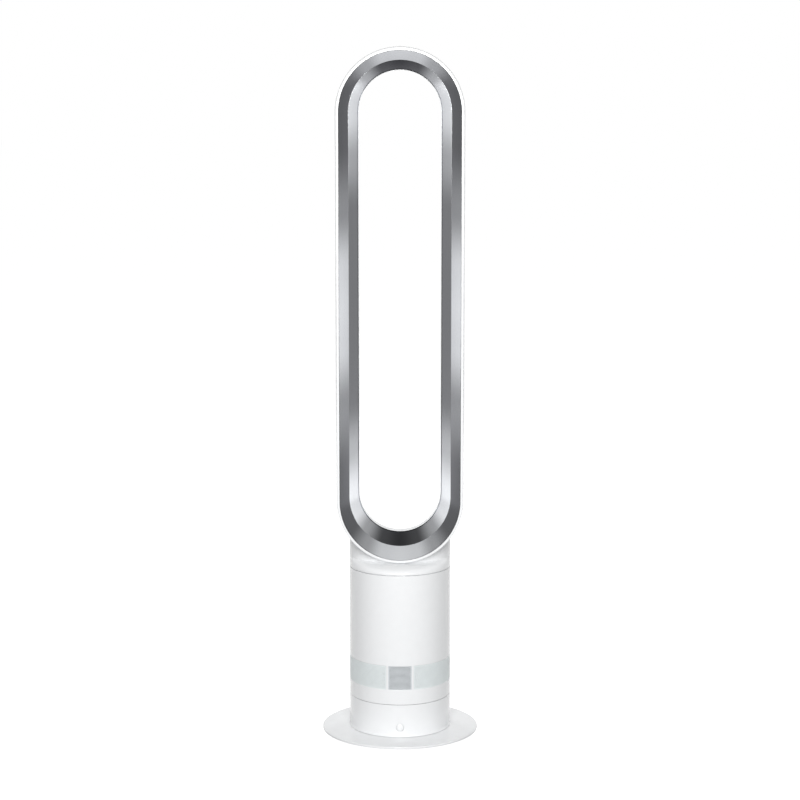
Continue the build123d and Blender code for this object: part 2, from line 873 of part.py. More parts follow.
def foot_pads():
    """Rubber pads under the base plate."""
    with BuildPart() as pads:
        with BuildSketch():
            with PolarLocations(pad_circle, pad_count):
                Circle(pad_radius)
        extrude(amount=plate_low)
        chamfer(pads.faces().group_by(Axis.Z)[0].edges(), length=pad_chamfer)
    save("foot_pads", pads)


def base_screws():
    """Pan-head screws that hold plate, foot and chassis together."""
    with BuildPart() as screws:
        with Locations(*base_screw_places(plate_low)):
            Cylinder(screw_head_radius, screw_head_height, align=under_seat)
            Cylinder(screw_radius, screw_length, align=floor_seat)
    save("base_screws", screws)


def front_plane(front, height, side=-1):
    """A plane across the column's front (or back) that looks inwards, at a distance from the axis."""
    return Plane(origin=(0, side * front, height), x_dir=(1, 0, 0), z_dir=(0, -side, 0))


def base_housing():
    """Short white drum of the base, with the button's hole in front and the cord's hole at the back."""
    shoulder_top = foot_top + base_shoulder_height
    drum = turned(
        (column_inside, foot_top),
        (column_radius + base_shoulder, foot_top),
        (column_radius + base_shoulder, shoulder_top - base_shoulder),
        (column_radius, shoulder_top),
        (column_radius, base_top),
        (column_inside, base_top),
    )
    with BuildPart() as housing:
        add(drum.part)
        with BuildSketch(front_plane(column_radius + cut_margin, button_height)):
            Circle(button_radius + moving_gap)
        extrude(amount=3 * column_wall, mode=Mode.SUBTRACT)
        with BuildSketch(front_plane(column_radius + cut_margin, gland_height, side=1)):
            Circle(gland_radius + seat_gap)
        extrude(amount=3 * column_wall, mode=Mode.SUBTRACT)
    save("base_housing", housing)


def base_chassis():
    """Deck inside the base: bearing boss, wall of the glide ring, posts, ribs and the drive's opening."""
    with BuildPart() as chassis:
        add(ring(column_inside - seat_gap, boss_inner, chassis_low, chassis_top).part)
        add(ring(boss_outer, boss_inner, boss_low, boss_top).part)
        add(ring(glide_inner + glide_width, glide_inner, chassis_top, glide_low).part)
        with Locations(*base_screw_places(foot_top)):
            Cylinder(post_radius, chassis_top - foot_top, align=floor_seat)
        rib_start = retainer_radius + rib_gap
        rib_length = base_screw_circle - post_radius / 2 - rib_start
        with BuildSketch(Plane.XY.offset(chassis_low - rib_height)):
            with PolarLocations(rib_start + rib_length / 2, base_screw_count, start_angle=45):
                Rectangle(rib_length, rib_wall)
        extrude(amount=rib_height)
        with Locations(*base_screw_places(foot_top)):
            Cylinder(screw_radius + running_fit, screw_length, align=floor_seat, mode=Mode.SUBTRACT)
        with BuildSketch(Plane.XY.offset(chassis_low)):
            with Locations((-gear_centres, 0)):
                Circle(drive_shaft_radius + shaft_opening_gap)
        extrude(amount=chassis_wall, mode=Mode.SUBTRACT)
    save("base_chassis", chassis)


def power_button():
    """Round push button: cap, retaining flange and stem on one axis."""
    flange_front = sqrt(column_inside**2 - button_flange_radius**2) - moving_gap
    flange_back = flange_front - button_flange
    cap_front = column_radius + button_proud
    with BuildPart() as button:
        with BuildSketch(front_plane(cap_front, button_height)):
            Circle(button_radius)
        extrude(amount=cap_front - flange_front)
        chamfer(button.faces().sort_by(Axis.Y)[0].edges(), length=button_bevel)
        with BuildSketch(front_plane(flange_front, button_height)):
            Circle(button_flange_radius)
        extrude(amount=button_flange)
        with BuildSketch(front_plane(flange_back, button_height)):
            Circle(stem_radius)
        extrude(amount=stem_length)
    save("power_button", button)
    return flange_back


def button_dome(flange_back):
    """Rubber dome that pushes the button back out."""
    board_face = flange_back - dome_length
    with BuildPart() as dome:
        with BuildSketch(Plane.XY.offset(button_height)):
            with BuildLine():
                closed(
                    (dome_radius, -flange_back),
                    (dome_radius + dome_wall, -flange_back),
                    (dome_radius + 2 * dome_wall, -board_face),
                    (dome_radius + dome_wall, -board_face),
                )
            make_face()
        revolve(axis=Axis((0, 0, button_height), (0, 1, 0)))
    save("button_dome", dome)


def switch_board(flange_back):
    """Upright board behind the button, with its push switch."""
    board_face = flange_back - dome_length
    low = button_height - switch_board_drop
    high = chassis_low - seat_gap
    plunger = dome_length - stem_length - button_travel - moving_gap - switch_height
    with BuildPart() as board:
        with Locations((0, -board_face, low)):
            Box(switch_board_width, board_wall, high - low, align=(Align.CENTER, Align.MIN, Align.MIN))
        with Locations((0, -board_face, button_height)):
            Box(switch_size, switch_height, switch_size, align=back_seat)
        with BuildSketch(front_plane(board_face + switch_height, button_height)):
            Circle(plunger_radius)
        extrude(amount=-plunger)
    save("switch_board", board)


def cord_gland():
    """Flanged grommet in the cord's hole at the back of the base."""
    outer_face = column_radius + seat_gap
    inner_face = sqrt(column_inside**2 - gland_flange_radius**2) - seat_gap
    with BuildPart() as gland:
        with BuildSketch(front_plane(outer_face + gland_flange, gland_height, side=1)):
            Circle(gland_flange_radius)
        extrude(amount=gland_flange)
        with BuildSketch(front_plane(outer_face, gland_height, side=1)):
            Circle(gland_radius)
        extrude(amount=outer_face - inner_face)
        with BuildSketch(front_plane(inner_face, gland_height, side=1)):
            Circle(gland_flange_radius)
        extrude(amount=gland_flange)
        with BuildSketch(front_plane(outer_face + gland_flange, gland_height, side=1)):
            Circle(gland_bore)
        extrude(amount=outer_face - inner_face + 2 * gland_flange, mode=Mode.SUBTRACT)
    save("cord_gland", gland)


# ---------------------------------------------------------------- swivel


def turntable():
    """Floor of the swinging column: disc, hollow spigot, rim that seats in the sleeve, board posts."""
    rim_inside = turntable_rim - turntable_rim_wall
    disc_top = turntable_low + turntable_wall
    seat = column_inside - seat_gap
    post_spacing_x = control_board_width - board_margin
    post_spacing_y = control_board_depth - board_margin
    disc = turned(
        (spigot_radius - spigot_wall, spigot_low),
        (spigot_radius, spigot_low),
        (spigot_radius, turntable_low),
        (turntable_rim, turntable_low),
        (turntable_rim, sleeve_bottom + seat_gap),
        (seat, sleeve_bottom + seat_gap),
        (seat, turntable_rim_top),
        (rim_inside, turntable_rim_top),
        (rim_inside, disc_top),
        (spigot_radius - spigot_wall, disc_top),
    )
    with BuildPart() as table:
        add(disc.part)
        with Locations((0, 0, disc_top)):
            with GridLocations(post_spacing_x, post_spacing_y, 2, 2):
                Cylinder(board_post_radius, control_board_low - disc_top, align=floor_seat)
    save("turntable", table)


def swivel_rings():
    """Bush in the boss, retaining ring on the spigot and the glide ring that carries the column."""
    bush = turned(
        (bush_radius, boss_low),
        (boss_inner, boss_low),
        (boss_inner, boss_top),
        (boss_inner + bush_flange, boss_top),
        (boss_inner + bush_flange, boss_top + bush_flange_height),
        (bush_radius, boss_top + bush_flange_height),
    )
    save("spigot_bush", bush)
    save("spigot_retainer", ring(retainer_radius, spigot_radius, spigot_low, spigot_low + retainer_wall))
    save("glide_ring", ring(glide_inner + glide_width, glide_inner, glide_low, glide_top))


def tooth_corners(teeth, first, last, phase):
    """Corners of straight-sided gear teeth from one tooth to another, in order round the gear."""
    pitch_radius = gear_module * teeth / 2
    corners = []
    for index in range(first, last + 1):
        centre = 360 / teeth * index + phase
        for side, reach in ((-1, -tooth_root), (-1, tooth_tip), (1, tooth_tip), (1, -tooth_root)):
            radius = pitch_radius + reach * gear_module
            half_width = (gear_module * pi / 2 - gear_backlash) / 2 - reach * gear_module * pressure_slope
            turn = centre + side * degrees(half_width / radius)
            corners.append(Vector(radius, 0).rotate(Axis.Z, turn))
    return corners


def gear_sector():
    """Toothed sector under the turntable that the pinion drives."""
    teeth = tooth_corners(sector_full_teeth, -sector_side_teeth, sector_side_teeth, 180)
    root = gear_module * sector_full_teeth / 2 - tooth_root * gear_module
    half_span = 360 / sector_full_teeth * (sector_side_teeth + 0.5)
    with BuildPart() as sector:
        with BuildSketch(Plane.XY.offset(sector_low)):
            with BuildLine():
                inner_first = Vector(sector_inner, 0).rotate(Axis.Z, 180 - half_span)
                inner_last = Vector(sector_inner, 0).rotate(Axis.Z, 180 + half_span)
                root_first = Vector(root, 0).rotate(Axis.Z, 180 - half_span)
                root_last = Vector(root, 0).rotate(Axis.Z, 180 + half_span)
                Polyline(inner_first, root_first, *teeth, root_last, inner_last)
                ThreePointArc(inner_last, (-sector_inner, 0), inner_first)
            make_face()
        extrude(amount=sector_height)
    save("gear_sector", sector)


def drive_pinion():
    """Pinion of the swing drive with its own stub shaft."""
    phase = 180 / pinion_teeth
    teeth = tooth_corners(pinion_teeth, 0, pinion_teeth - 1, phase)
    low = sector_low + (sector_height - pinion_height) / 2
    with BuildPart() as pinion:
        with BuildSketch(Plane.XY.offset(low)):
            with BuildLine():
                closed(*[tooth + Vector(-gear_centres, 0) for tooth in teeth])
            make_face()
        extrude(amount=pinion_height)
        with Locations((-gear_centres, 0, motor_top - shaft_depth)):
            Cylinder(drive_shaft_radius, low - motor_top + shaft_depth, align=floor_seat)
    save("drive_pinion", pinion)


def drive_motor():
    """Small geared motor of the swing drive, hung under the deck by two ears."""
    with BuildPart() as motor:
        with Locations((-gear_centres, 0, motor_top)):
            Cylinder(drive_motor_radius, drive_motor_height, align=under_seat)
        with BuildSketch(Plane.XY.offset(motor_top - ear_wall)):
            with Locations((-gear_centres, 0)):
                SlotOverall(2 * drive_motor_radius + ear_span, ear_width, rotation=90)
        extrude(amount=ear_wall)
        with Locations((-gear_centres, 0, motor_top)):
            Cylinder(
                drive_shaft_radius + running_fit,
                2 * (shaft_depth + moving_gap),
                mode=Mode.SUBTRACT,
            )
    save("drive_motor", motor)


def control_board():
    """Main board on the turntable's posts, with its larger components."""
    with BuildPart() as board:
        with Locations((0, 0, control_board_low)):
            Box(control_board_width, control_board_depth, board_wall, align=floor_seat)
        with Locations((*transformer_place, control_board_low + board_wall)):
            Box(*transformer_size, align=floor_seat)
        with Locations((*relay_place, control_board_low + board_wall)):
            Box(*relay_size, align=floor_seat)
        with Locations((*capacitor_place, control_board_low + board_wall)):
            Cylinder(capacitor_radius, capacitor_height, align=floor_seat)
    save("control_board", board)


loop_shell()
loop_collar()
loop_bands()
slot_spacers()
body_sleeve()
inlet_grille("inlet_grille_right", 1)
inlet_grille("inlet_grille_left", -1)
display_grille()
display_board()
display_holder()
impeller_housing()
impeller()
diffuser()
motor_bucket()
motor()
seals()
foot_cover()
base_plate()
foot_pads()
base_screws()
base_housing()
base_chassis()
button_seat = power_button()
button_dome(button_seat)
switch_board(button_seat)
cord_gland()
turntable()
swivel_rings()
gear_sector()
drive_pinion()
drive_motor()
control_board()
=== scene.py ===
import json
import math

import bmesh
import bpy
from bpy.props import FloatProperty, FloatVectorProperty, IntProperty, PointerProperty
from bpy.types import Operator, Panel, PropertyGroup
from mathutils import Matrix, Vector


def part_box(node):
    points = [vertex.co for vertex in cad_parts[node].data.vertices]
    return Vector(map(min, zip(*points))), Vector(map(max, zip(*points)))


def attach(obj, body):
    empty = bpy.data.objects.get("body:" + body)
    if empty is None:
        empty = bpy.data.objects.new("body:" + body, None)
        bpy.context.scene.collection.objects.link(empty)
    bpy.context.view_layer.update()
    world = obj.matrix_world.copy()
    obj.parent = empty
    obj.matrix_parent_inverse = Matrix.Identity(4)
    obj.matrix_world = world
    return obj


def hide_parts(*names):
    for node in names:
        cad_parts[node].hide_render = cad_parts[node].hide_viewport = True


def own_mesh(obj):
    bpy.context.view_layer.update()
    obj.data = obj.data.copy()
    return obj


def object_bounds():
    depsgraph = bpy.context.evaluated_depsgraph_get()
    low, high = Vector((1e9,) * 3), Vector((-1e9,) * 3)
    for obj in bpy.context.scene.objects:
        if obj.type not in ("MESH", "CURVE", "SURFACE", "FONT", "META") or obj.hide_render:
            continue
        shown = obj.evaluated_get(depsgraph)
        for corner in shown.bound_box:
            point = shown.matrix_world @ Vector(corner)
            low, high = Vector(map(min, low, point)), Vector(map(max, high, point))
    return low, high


bl_info = {
    "name": "Bladeless Tower Fan",
    "version": (1, 0, 0),
    "blender": (4, 5, 0),
    "location": "View3D > Sidebar > Fan",
    "description": "Builds the visible pieces, finishes and studio of a bladeless tower fan around its frame",
    "category": "Object",
}

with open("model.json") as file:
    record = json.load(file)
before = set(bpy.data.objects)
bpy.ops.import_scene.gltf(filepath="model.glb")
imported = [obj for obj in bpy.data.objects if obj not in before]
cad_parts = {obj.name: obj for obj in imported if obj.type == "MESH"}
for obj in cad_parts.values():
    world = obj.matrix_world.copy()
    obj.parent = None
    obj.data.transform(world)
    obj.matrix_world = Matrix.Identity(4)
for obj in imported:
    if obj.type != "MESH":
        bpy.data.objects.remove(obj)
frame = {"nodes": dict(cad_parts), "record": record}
SLOT_OF_NODE = {part["node"]: part["material_slot"] for part in frame["record"]["subparts"]}
CAD_LOW, CAD_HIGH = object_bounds()
SHELL_LOW, SHELL_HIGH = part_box("loop_shell")
COLLAR_LOW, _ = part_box("loop_collar")
SLEEVE_LOW, SLEEVE_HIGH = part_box("body_sleeve")
PANEL_LOW, PANEL_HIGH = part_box("inlet_grille_right")
DISPLAY_LOW, DISPLAY_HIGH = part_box("display_grille")
DRUM_LOW, DRUM_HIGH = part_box("base_housing")
FOOT_LOW, FOOT_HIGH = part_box("foot_cover")
BUTTON_LOW, BUTTON_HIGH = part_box("power_button")
GLAND_LOW, GLAND_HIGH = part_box("cord_gland")
DOME_LOW, DOME_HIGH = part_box("button_dome")
BUTTON_HEIGHT = (BUTTON_LOW.z + BUTTON_HIGH.z) / 2
GLAND_HEIGHT = (GLAND_LOW.z + GLAND_HIGH.z) / 2
FIT = 0.0001  # clearance between pieces that meet
PANEL_WALL = 0.0012  # thickness of the inlet panels and of the display window
PANEL_SETBACK = 0.0002  # how far they lie behind the column's surface
BUTTON_GAP = 0.0003  # shadow line round the push button


# ---------- settings


def length(name, description, default):
    """A length in metres that the sidebar shows in the scene's units."""
    return FloatProperty(
        name=name, description=description, default=default, min=0.0, precision=5, subtype="DISTANCE", unit="LENGTH"
    )


def angle(name, description, degrees):
    """An angle, given in degrees."""
    return FloatProperty(
        name=name, description=description, default=math.radians(degrees), subtype="ANGLE", unit="ROTATION"
    )


def power(name, description, watts):
    """The power of a lamp."""
    return FloatProperty(name=name, description=description, default=watts, min=0.0, unit="POWER")


def colour(name, description, default):
    """A linear colour with its picker."""
    return FloatVectorProperty(
        name=name, description=description, default=default, min=0.0, max=1.0, size=3, subtype="COLOR"
    )


class FanLoopSizes(PropertyGroup):
    """Section of the air loop, measured from its centre line."""

    radius: length("Radius", "Outside of the white shell at its widest", SHELL_HIGH.x - 0.0018)
    lip_radius: length("Lip radius", "Outside of the white shell at its front lip", SHELL_HIGH.x - 0.0038)
    widest_depth: length("Widest depth", "How far behind the front lip the shell is widest", 0.035)
    wall: length("Shell wall", "Thickness of the white shell", 0.0024)
    rim_width: length("Rim width", "White rim round the silver band", 0.0038)
    crease_radius: length("Crease radius", "Where the two silver bands meet", 0.0740)
    crease_depth: length("Crease depth", "The crease lies this far behind the lip", 0.040)
    throat_radius: length("Throat radius", "Narrowest line of the inner silver band", 0.0611)
    throat_depth: length("Throat depth", "The throat lies this far behind the lip", 0.080)
    band_wall: length("Band wall", "Thickness of both silver bands", 0.0018)
    air_slot: length("Air slot", "Gap that the air leaves through", 0.0005)
    tip_wall: length("Tip wall", "Thickness of the shell's tip beside the air slot", 0.0005)
    crease_gap: length("Crease gap", "Shadow line between the silver bands", 0.0003)
    edge_round: length("Edge radius", "Rounding of the moulded edges", 0.0003)
    lip_round: length("Lip rounding", "Rounding of the shell's front edge", 0.0012)
    arc_steps: IntProperty(name="Arc steps", description="Facets in each half turn", default=96, min=12)


class FanBodySizes(PropertyGroup):
    """Column, inlet band and foot."""

    column_radius: length("Column radius", "Outside of the column", SLEEVE_HIGH.x)
    column_wall: length("Column wall", "Thickness of the column's wall", 0.0024)
    collar_half_depth: length("Collar half depth", "Half the collar's depth where it meets the loop", 0.050)
    collar_lean: length("Collar lean height", "Height over which the collar rounds in", 0.013)
    collar_neck: length("Collar neck", "Length of the neck inside the column", 0.011)
    strip_width: length("Strip width", "White strip each side of the display window", 0.003)
    back_post: angle("Back post", "Angle of the solid post at the back", 24)
    hole_pitch: length("Hole pitch", "Spacing of the inlet's holes", 0.0018)
    hole_width: length("Hole width", "Across each inlet hole", 0.0008)
    slot_count: IntProperty(name="Slots", description="Slots in the display window", default=20, min=1)
    slot_height: length("Slot height", "Height of each display slot", 0.0006)
    seam_gap: length("Seam gap", "Extra shadow gap under the collar", 0.0003)
    seam_round: length("Seam radius", "Rounding of the edges at the seams", 0.0005)
    drum_shoulder: length("Drum shoulder", "Width of the flare at the foot of the base drum", 0.0006)
    button_radius: length("Button radius", "Outside of the push button", 0.0055)
    button_travel: length("Button travel", "How far the push button goes in", 0.0012)
    dome_wall: length("Dome wall", "Thickness of the rubber dome behind the button", 0.0008)
    gland_radius: length("Inlet radius", "Outside of the cord inlet's grommet", 0.0065)
    foot_gap: length("Foot gap", "Shadow line between the foot and the base drum", 0.0004)
    foot_round: length("Foot radius", "Rounding of the foot's upper edge", 0.0022)


class FanFinishes(PropertyGroup):
    """Colours of the mouldings and metals."""

    white: colour("White", "Glossy white shells", (0.86, 0.87, 0.88))
    silver: colour("Silver", "Metallised bands of the loop", (0.955, 0.975, 1.0))
    grille: colour("Grille", "Perforated inlet panels", (0.78, 0.83, 0.835))
    display: colour("Display", "Slotted display window", (0.67, 0.70, 0.725))
    inner_grey: colour("Inner grey", "Mouldings inside the column", (0.10, 0.105, 0.115))
    board: colour("Board", "Lacquered circuit boards", (0.010, 0.075, 0.028))
    rubber: colour("Rubber", "Black rubber pieces", (0.018, 0.018, 0.019))
    steel: colour("Steel", "Turned steel pieces", (0.56, 0.56, 0.57))


class FanStudio(PropertyGroup):
    """Camera, lamps and background."""

    camera_height: length("Camera height", "Height of the lens above the floor", 0.954)
    camera_distance: length("Camera distance", "From the fan's axis to the lens", 3.079)
    camera_pitch: angle("Camera pitch", "How far the camera looks down", 8.49)
    lens: FloatProperty(name="Lens", description="Focal length in millimetres", default=95.7, min=1.0)
    ambient: FloatProperty(name="Ambient level", description="Even light from all round", default=0.22, min=0.0)
    key_power: power("Front light", "Power of the soft light above the camera", 73.0)
    back_power: power("Back lights", "Power of each soft light behind the fan", 32.0)
    floor_shade: FloatProperty(
        name="Floor shade", description="Share of the floor's tone that shadows can darken", default=0.35,
        min=0.0, max=1.0, subtype="FACTOR",
    )


# ---------- finishes


def feed(tree, socket, value):
    """Set a socket's value, or link it where the value is another node's output."""
    if isinstance(value, bpy.types.NodeSocket):
        tree.links.new(value, socket)
    else:
        socket.default_value = value


def add_node(tree, kind, options=(), **inputs):
    """Add a shader node with its options and with its inputs, whose labels have _ for each space."""
    node = tree.nodes.new("ShaderNode" + kind)
    for option, value in dict(options).items():
        setattr(node, option, value)
    for label, value in inputs.items():
        feed(tree, node.inputs[label.replace("_", " ")], value)
    return node


def math_of(tree, operation, *values):
    """The result of a math node."""
    node = add_node(tree, "Math", {"operation": operation})
    for socket, value in zip(node.inputs, values):
        feed(tree, socket, value)
    return node.outputs["Value"]


def shader_group(name, values, outputs):
    """An empty shader node group that takes a vector and some values and gives some values."""
    group = bpy.data.node_groups.new(name, "ShaderNodeTree")
    group.interface.new_socket(name="Vector", in_out="INPUT", socket_type="NodeSocketVector")
    for label, value in values.items():
        socket = group.interface.new_socket(name=label, in_out="INPUT", socket_type="NodeSocketFloat")
        socket.default_value = value
    for label in outputs:
        group.interface.new_socket(name=label, in_out="OUTPUT", socket_type="NodeSocketFloat")
    return group, group.nodes.new("NodeGroupInput").outputs, group.nodes.new("NodeGroupOutput").inputs


def moulding_texture():
    """Fine texture of a moulded surface: a height and a soft mottling."""
    group, given, result = shader_group("moulding_texture", {"Grain": 2200.0}, ("Height", "Mottle"))
    grain = add_node(group, "TexNoise", Vector=given["Vector"], Scale=given["Grain"], Detail=3.0)
    mottle = add_node(group, "TexNoise", Vector=given["Vector"], Scale=90.0, Detail=4.0)
    feed(group, result["Height"], grain.outputs["Fac"])
    feed(group, result["Mottle"], mottle.outputs["Fac"])
    return group


def edge_wear():
    """Mask of exposed edges, broken up by noise."""
    group, given, result = shader_group("edge_wear", {"Start": 0.52, "Full": 0.62, "Break up": 160.0}, ("Mask",))
    edge = add_node(
        group, "MapRange", {"interpolation_type": "SMOOTHSTEP"},
        Value=add_node(group, "NewGeometry").outputs["Pointiness"], From_Min=given["Start"], From_Max=given["Full"],
    )
    noise = add_node(group, "TexNoise", Vector=given["Vector"], Scale=given["Break up"], Detail=5.0)
    feed(group, result["Mask"], math_of(group, "MULTIPLY", edge.outputs["Result"], noise.outputs["Fac"]))
    return group


def settled_dust():
    """Mask of fine dust: faces that look up, broken up by noise."""
    group, given, result = shader_group("settled_dust", {"Specks": 900.0}, ("Mask",))
    split = add_node(group, "SeparateXYZ", Vector=add_node(group, "NewGeometry").outputs["Normal"])
    upward = add_node(group, "MapRange", Value=split.outputs["Z"], From_Min=0.35, From_Max=0.95)
    noise = add_node(group, "TexNoise", Vector=given["Vector"], Scale=given["Specks"], Detail=6.0)
    feed(group, result["Mask"], math_of(group, "MULTIPLY", upward.outputs["Result"], noise.outputs["Fac"]))
    return group


def turned_rings():
    """Fine rings left by a lathe round the column's axis, and their shading."""
    group, given, result = shader_group("turned_rings", {"Rings": 3200.0}, ("Height", "Shade"))
    wave = add_node(
        group, "TexWave", {"wave_type": "RINGS", "rings_direction": "Z"},
        Vector=given["Vector"], Scale=given["Rings"], Distortion=2.0, Detail=2.0,
    )
    cloud = add_node(group, "TexNoise", Vector=given["Vector"], Scale=220.0)
    feed(group, result["Height"], wave.outputs["Fac"])
    feed(group, result["Shade"], cloud.outputs["Fac"])
    return group


def painted_reflection_share():
    """Share of the way round the loop that places the painted reflections on the silver bands: 0 at half height, 0.5
    where the sides end and 1 at the apex.
    """
    group, given, result = shader_group("painted_reflection_share", {"Middle": 0.63, "Straight": 0.28}, ("Share",))
    split = add_node(group, "SeparateXYZ", Vector=given["Vector"]).outputs
    away = math_of(group, "ABSOLUTE", math_of(group, "SUBTRACT", split["Z"], given["Middle"]))
    along = math_of(group, "DIVIDE", math_of(group, "MINIMUM", away, given["Straight"]), given["Straight"])
    beyond = math_of(group, "MAXIMUM", math_of(group, "SUBTRACT", away, given["Straight"]), 0.0)
    turn = math_of(group, "ARCTAN2", beyond, math_of(group, "ABSOLUTE", split["X"]))
    both = math_of(group, "ADD", along, math_of(group, "DIVIDE", turn, math.pi / 2))
    feed(group, result["Share"], math_of(group, "DIVIDE", both, 2.0))
    return group


def placed(tree, texture, place, **values):
    """Outputs of a shared shader group put into a material; the group is made the first time."""
    group = bpy.data.node_groups.get(texture.__name__) or texture()
    return add_node(tree, "Group", {"node_tree": group}, Vector=place, **values).outputs


def start_finish(name, base, roughness, metallic=0.0):
    """A new material with its Principled shader's inputs and its object coordinates."""
    material = bpy.data.materials.new(name)
    material.use_nodes = True
    tree = material.node_tree
    shader = tree.nodes["Principled BSDF"].inputs
    shader["Base Color"].default_value = (*base, 1.0)
    shader["Roughness"].default_value = roughness
    shader["Metallic"].default_value = metallic
    return material, tree, shader, add_node(tree, "TexCoord").outputs["Object"]


def graded(tree, mask, stops, interpolation="LINEAR"):
    """A colour that runs with a mask through stops, given as (position, colour)."""
    ramp = add_node(tree, "ValToRGB", Fac=mask)
    ramp.color_ramp.interpolation = interpolation
    elements = ramp.color_ramp.elements
    elements[0].position, elements[1].position = stops[0][0], stops[-1][0]
    for position, _ in stops[1:-1]:
        elements.new(position)
    for element, (_, tone) in zip(elements, stops):
        element.color = (*tone, 1.0)
    return ramp.outputs["Color"]


def blended(tree, mask, under, over, amount):
    """Lay one colour over another where a mask is high."""
    strength = math_of(tree, "MULTIPLY", mask, amount)
    mix = add_node(tree, "Mix", {"data_type": "RGBA"}, Factor=strength, A=under, B=(*over, 1.0))
    return mix.outputs["Result"]


def varied_roughness(tree, shader, mask, low, high):
    """Let the roughness run from low to high with a mask."""
    spread = add_node(tree, "MapRange", Value=mask, To_Min=low, To_Max=high)
    feed(tree, shader["Roughness"], spread.outputs["Result"])


def bumped(tree, shader, height, strength, distance):
    """Feed a height to the shader's normal."""
    bump = add_node(tree, "Bump", Strength=strength, Distance=distance, Height=height)
    feed(tree, shader["Normal"], bump.outputs["Normal"])


def scaled(base, factor):
    return tuple(min(1.0, channel * factor) for channel in base)


def two_tones(tree, mask, base, dark, light, low=0.35, high=0.65):
    """A base colour that runs from a darker to a lighter tone of it with a mask."""
    return graded(tree, mask, [(low, scaled(base, dark)), (high, scaled(base, light))])


DUST = (0.30, 0.29, 0.28)


def moulded(name, base, roughness, shades, *, grain=2200.0, relief=(0.35, 0.00002), spread=0.04, wear=0.0, dust=0.0):
    """Moulded surface: a mottled tone, fine grain in the sheen, softly worn edges and a bloom of dust.

    shades are the darkest and the lightest share of the base colour, relief is the bump's strength and distance.
    """
    material, tree, shader, place = start_finish(name, base, roughness)
    texture = placed(tree, moulding_texture, place, Grain=grain)
    tone = two_tones(tree, texture["Mottle"], base, *shades)
    if wear:
        tone = blended(tree, placed(tree, edge_wear, place)["Mask"], tone, scaled(base, 1.25), wear)
    if dust:
        tone = blended(tree, placed(tree, settled_dust, place)["Mask"], tone, DUST, dust)
    feed(tree, shader["Base Color"], tone)
    varied_roughness(tree, shader, texture["Mottle"], roughness - spread, roughness + spread)
    bumped(tree, shader, texture["Height"], *relief)
    return material


def glossy_finish(base):
    """Glossy white plastic under a thin clear coat."""
    material = moulded("gloss_white", base, 0.22, (0.992, 1.004), grain=1400.0, relief=(0.35, 0.000006))
    shader = material.node_tree.nodes["Principled BSDF"].inputs
    shader["Coat Weight"].default_value = 0.25
    shader["Coat Roughness"].default_value = 0.08
    return material


def rubber_finish(name, base, roughness):
    """Matte rubber with a pale bloom and a dull grain."""
    return moulded(name, base, roughness, (0.8, 1.5), grain=2600.0, relief=(0.5, 0.00006), spread=0.1, dust=0.25)


def silver_finish(name, base, tones):
    """Metallised plastic: fine metal flake under a satin lacquer, with painted reflections graded in its base colour
    from the middle of the loop to its apex.
    """
    material, tree, shader, place = start_finish(name, base, roughness=0.24, metallic=1.0)
    low, high = loop_centres()
    painted_reflection_grade = placed(tree, painted_reflection_share, place, Middle=(low + high) / 2, Straight=(high - low) / 2)
    # painted reflection: the base colour runs dark and bright round the loop where reflections of the studio would fall
    tone = graded(tree, painted_reflection_grade["Share"], [(share, scaled(base, level)) for share, level in tones], "EASE")
    texture = placed(tree, moulding_texture, place, Grain=3800.0)
    glint = two_tones(tree, texture["Height"], (1.0, 1.0, 1.0), dark=0.96, light=1.0, low=0.3, high=0.7)
    flake = add_node(tree, "Mix", {"data_type": "RGBA", "blend_type": "MULTIPLY"}, Factor=1.0, A=tone, B=glint)
    feed(tree, shader["Base Color"], flake.outputs["Result"])
    varied_roughness(tree, shader, texture["Mottle"], low=0.22, high=0.27)
    shader["Specular Tint"].default_value = (0.55, 0.55, 0.57, 1.0)
    bumped(tree, shader, texture["Height"], strength=0.12, distance=0.00001)
    return material


def steel_finish(base):
    """Turned steel with lathe rings, worn bright at its edges."""
    material, tree, shader, place = start_finish("turned_steel", base, roughness=0.28, metallic=1.0)
    turned = placed(tree, turned_rings, place, Rings=3200.0)
    tone = two_tones(tree, turned["Shade"], base, dark=0.88, light=1.06)
    tone = blended(tree, placed(tree, edge_wear, place)["Mask"], tone, scaled(base, 1.3), amount=0.6)
    feed(tree, shader["Base Color"], tone)
    varied_roughness(tree, shader, turned["Height"], low=0.22, high=0.34)
    bumped(tree, shader, turned["Height"], strength=0.2, distance=0.00002)
    return material


def coated_steel_finish(base=(0.03, 0.03, 0.032), bare_steel=(0.45, 0.45, 0.46)):
    """Black powder coat: a fine orange peel, rubbed through to steel at the edges."""
    material, tree, shader, place = start_finish("powder_coated_steel", base, roughness=0.55)
    texture = placed(tree, moulding_texture, place, Grain=1500.0)
    worn = placed(tree, edge_wear, place, Start=0.55, Full=0.68)["Mask"]
    tone = two_tones(tree, texture["Mottle"], base, dark=0.8, light=1.3)
    feed(tree, shader["Base Color"], blended(tree, worn, tone, bare_steel, amount=0.7))
    feed(tree, shader["Metallic"], worn)
    bumped(tree, shader, texture["Height"], strength=0.6, distance=0.00008)
    return material


def foam_finish(base=(0.028, 0.028, 0.03)):
    """Open-cell foam: round cells of many sizes, with painted shade darkening each cell's pit."""
    material, tree, shader, place = start_finish("open_cell_foam", base, roughness=0.95)
    cells = add_node(tree, "TexVoronoi", Vector=place, Scale=700.0).outputs["Distance"]
    # painted shade: the tone darkens towards each cell's middle, where the bump sinks into a pit
    feed(tree, shader["Base Color"], two_tones(tree, cells, base, dark=0.35, light=1.9, low=0.1, high=0.6))
    bumped(tree, shader, cells, strength=0.9, distance=0.0006)
    return material


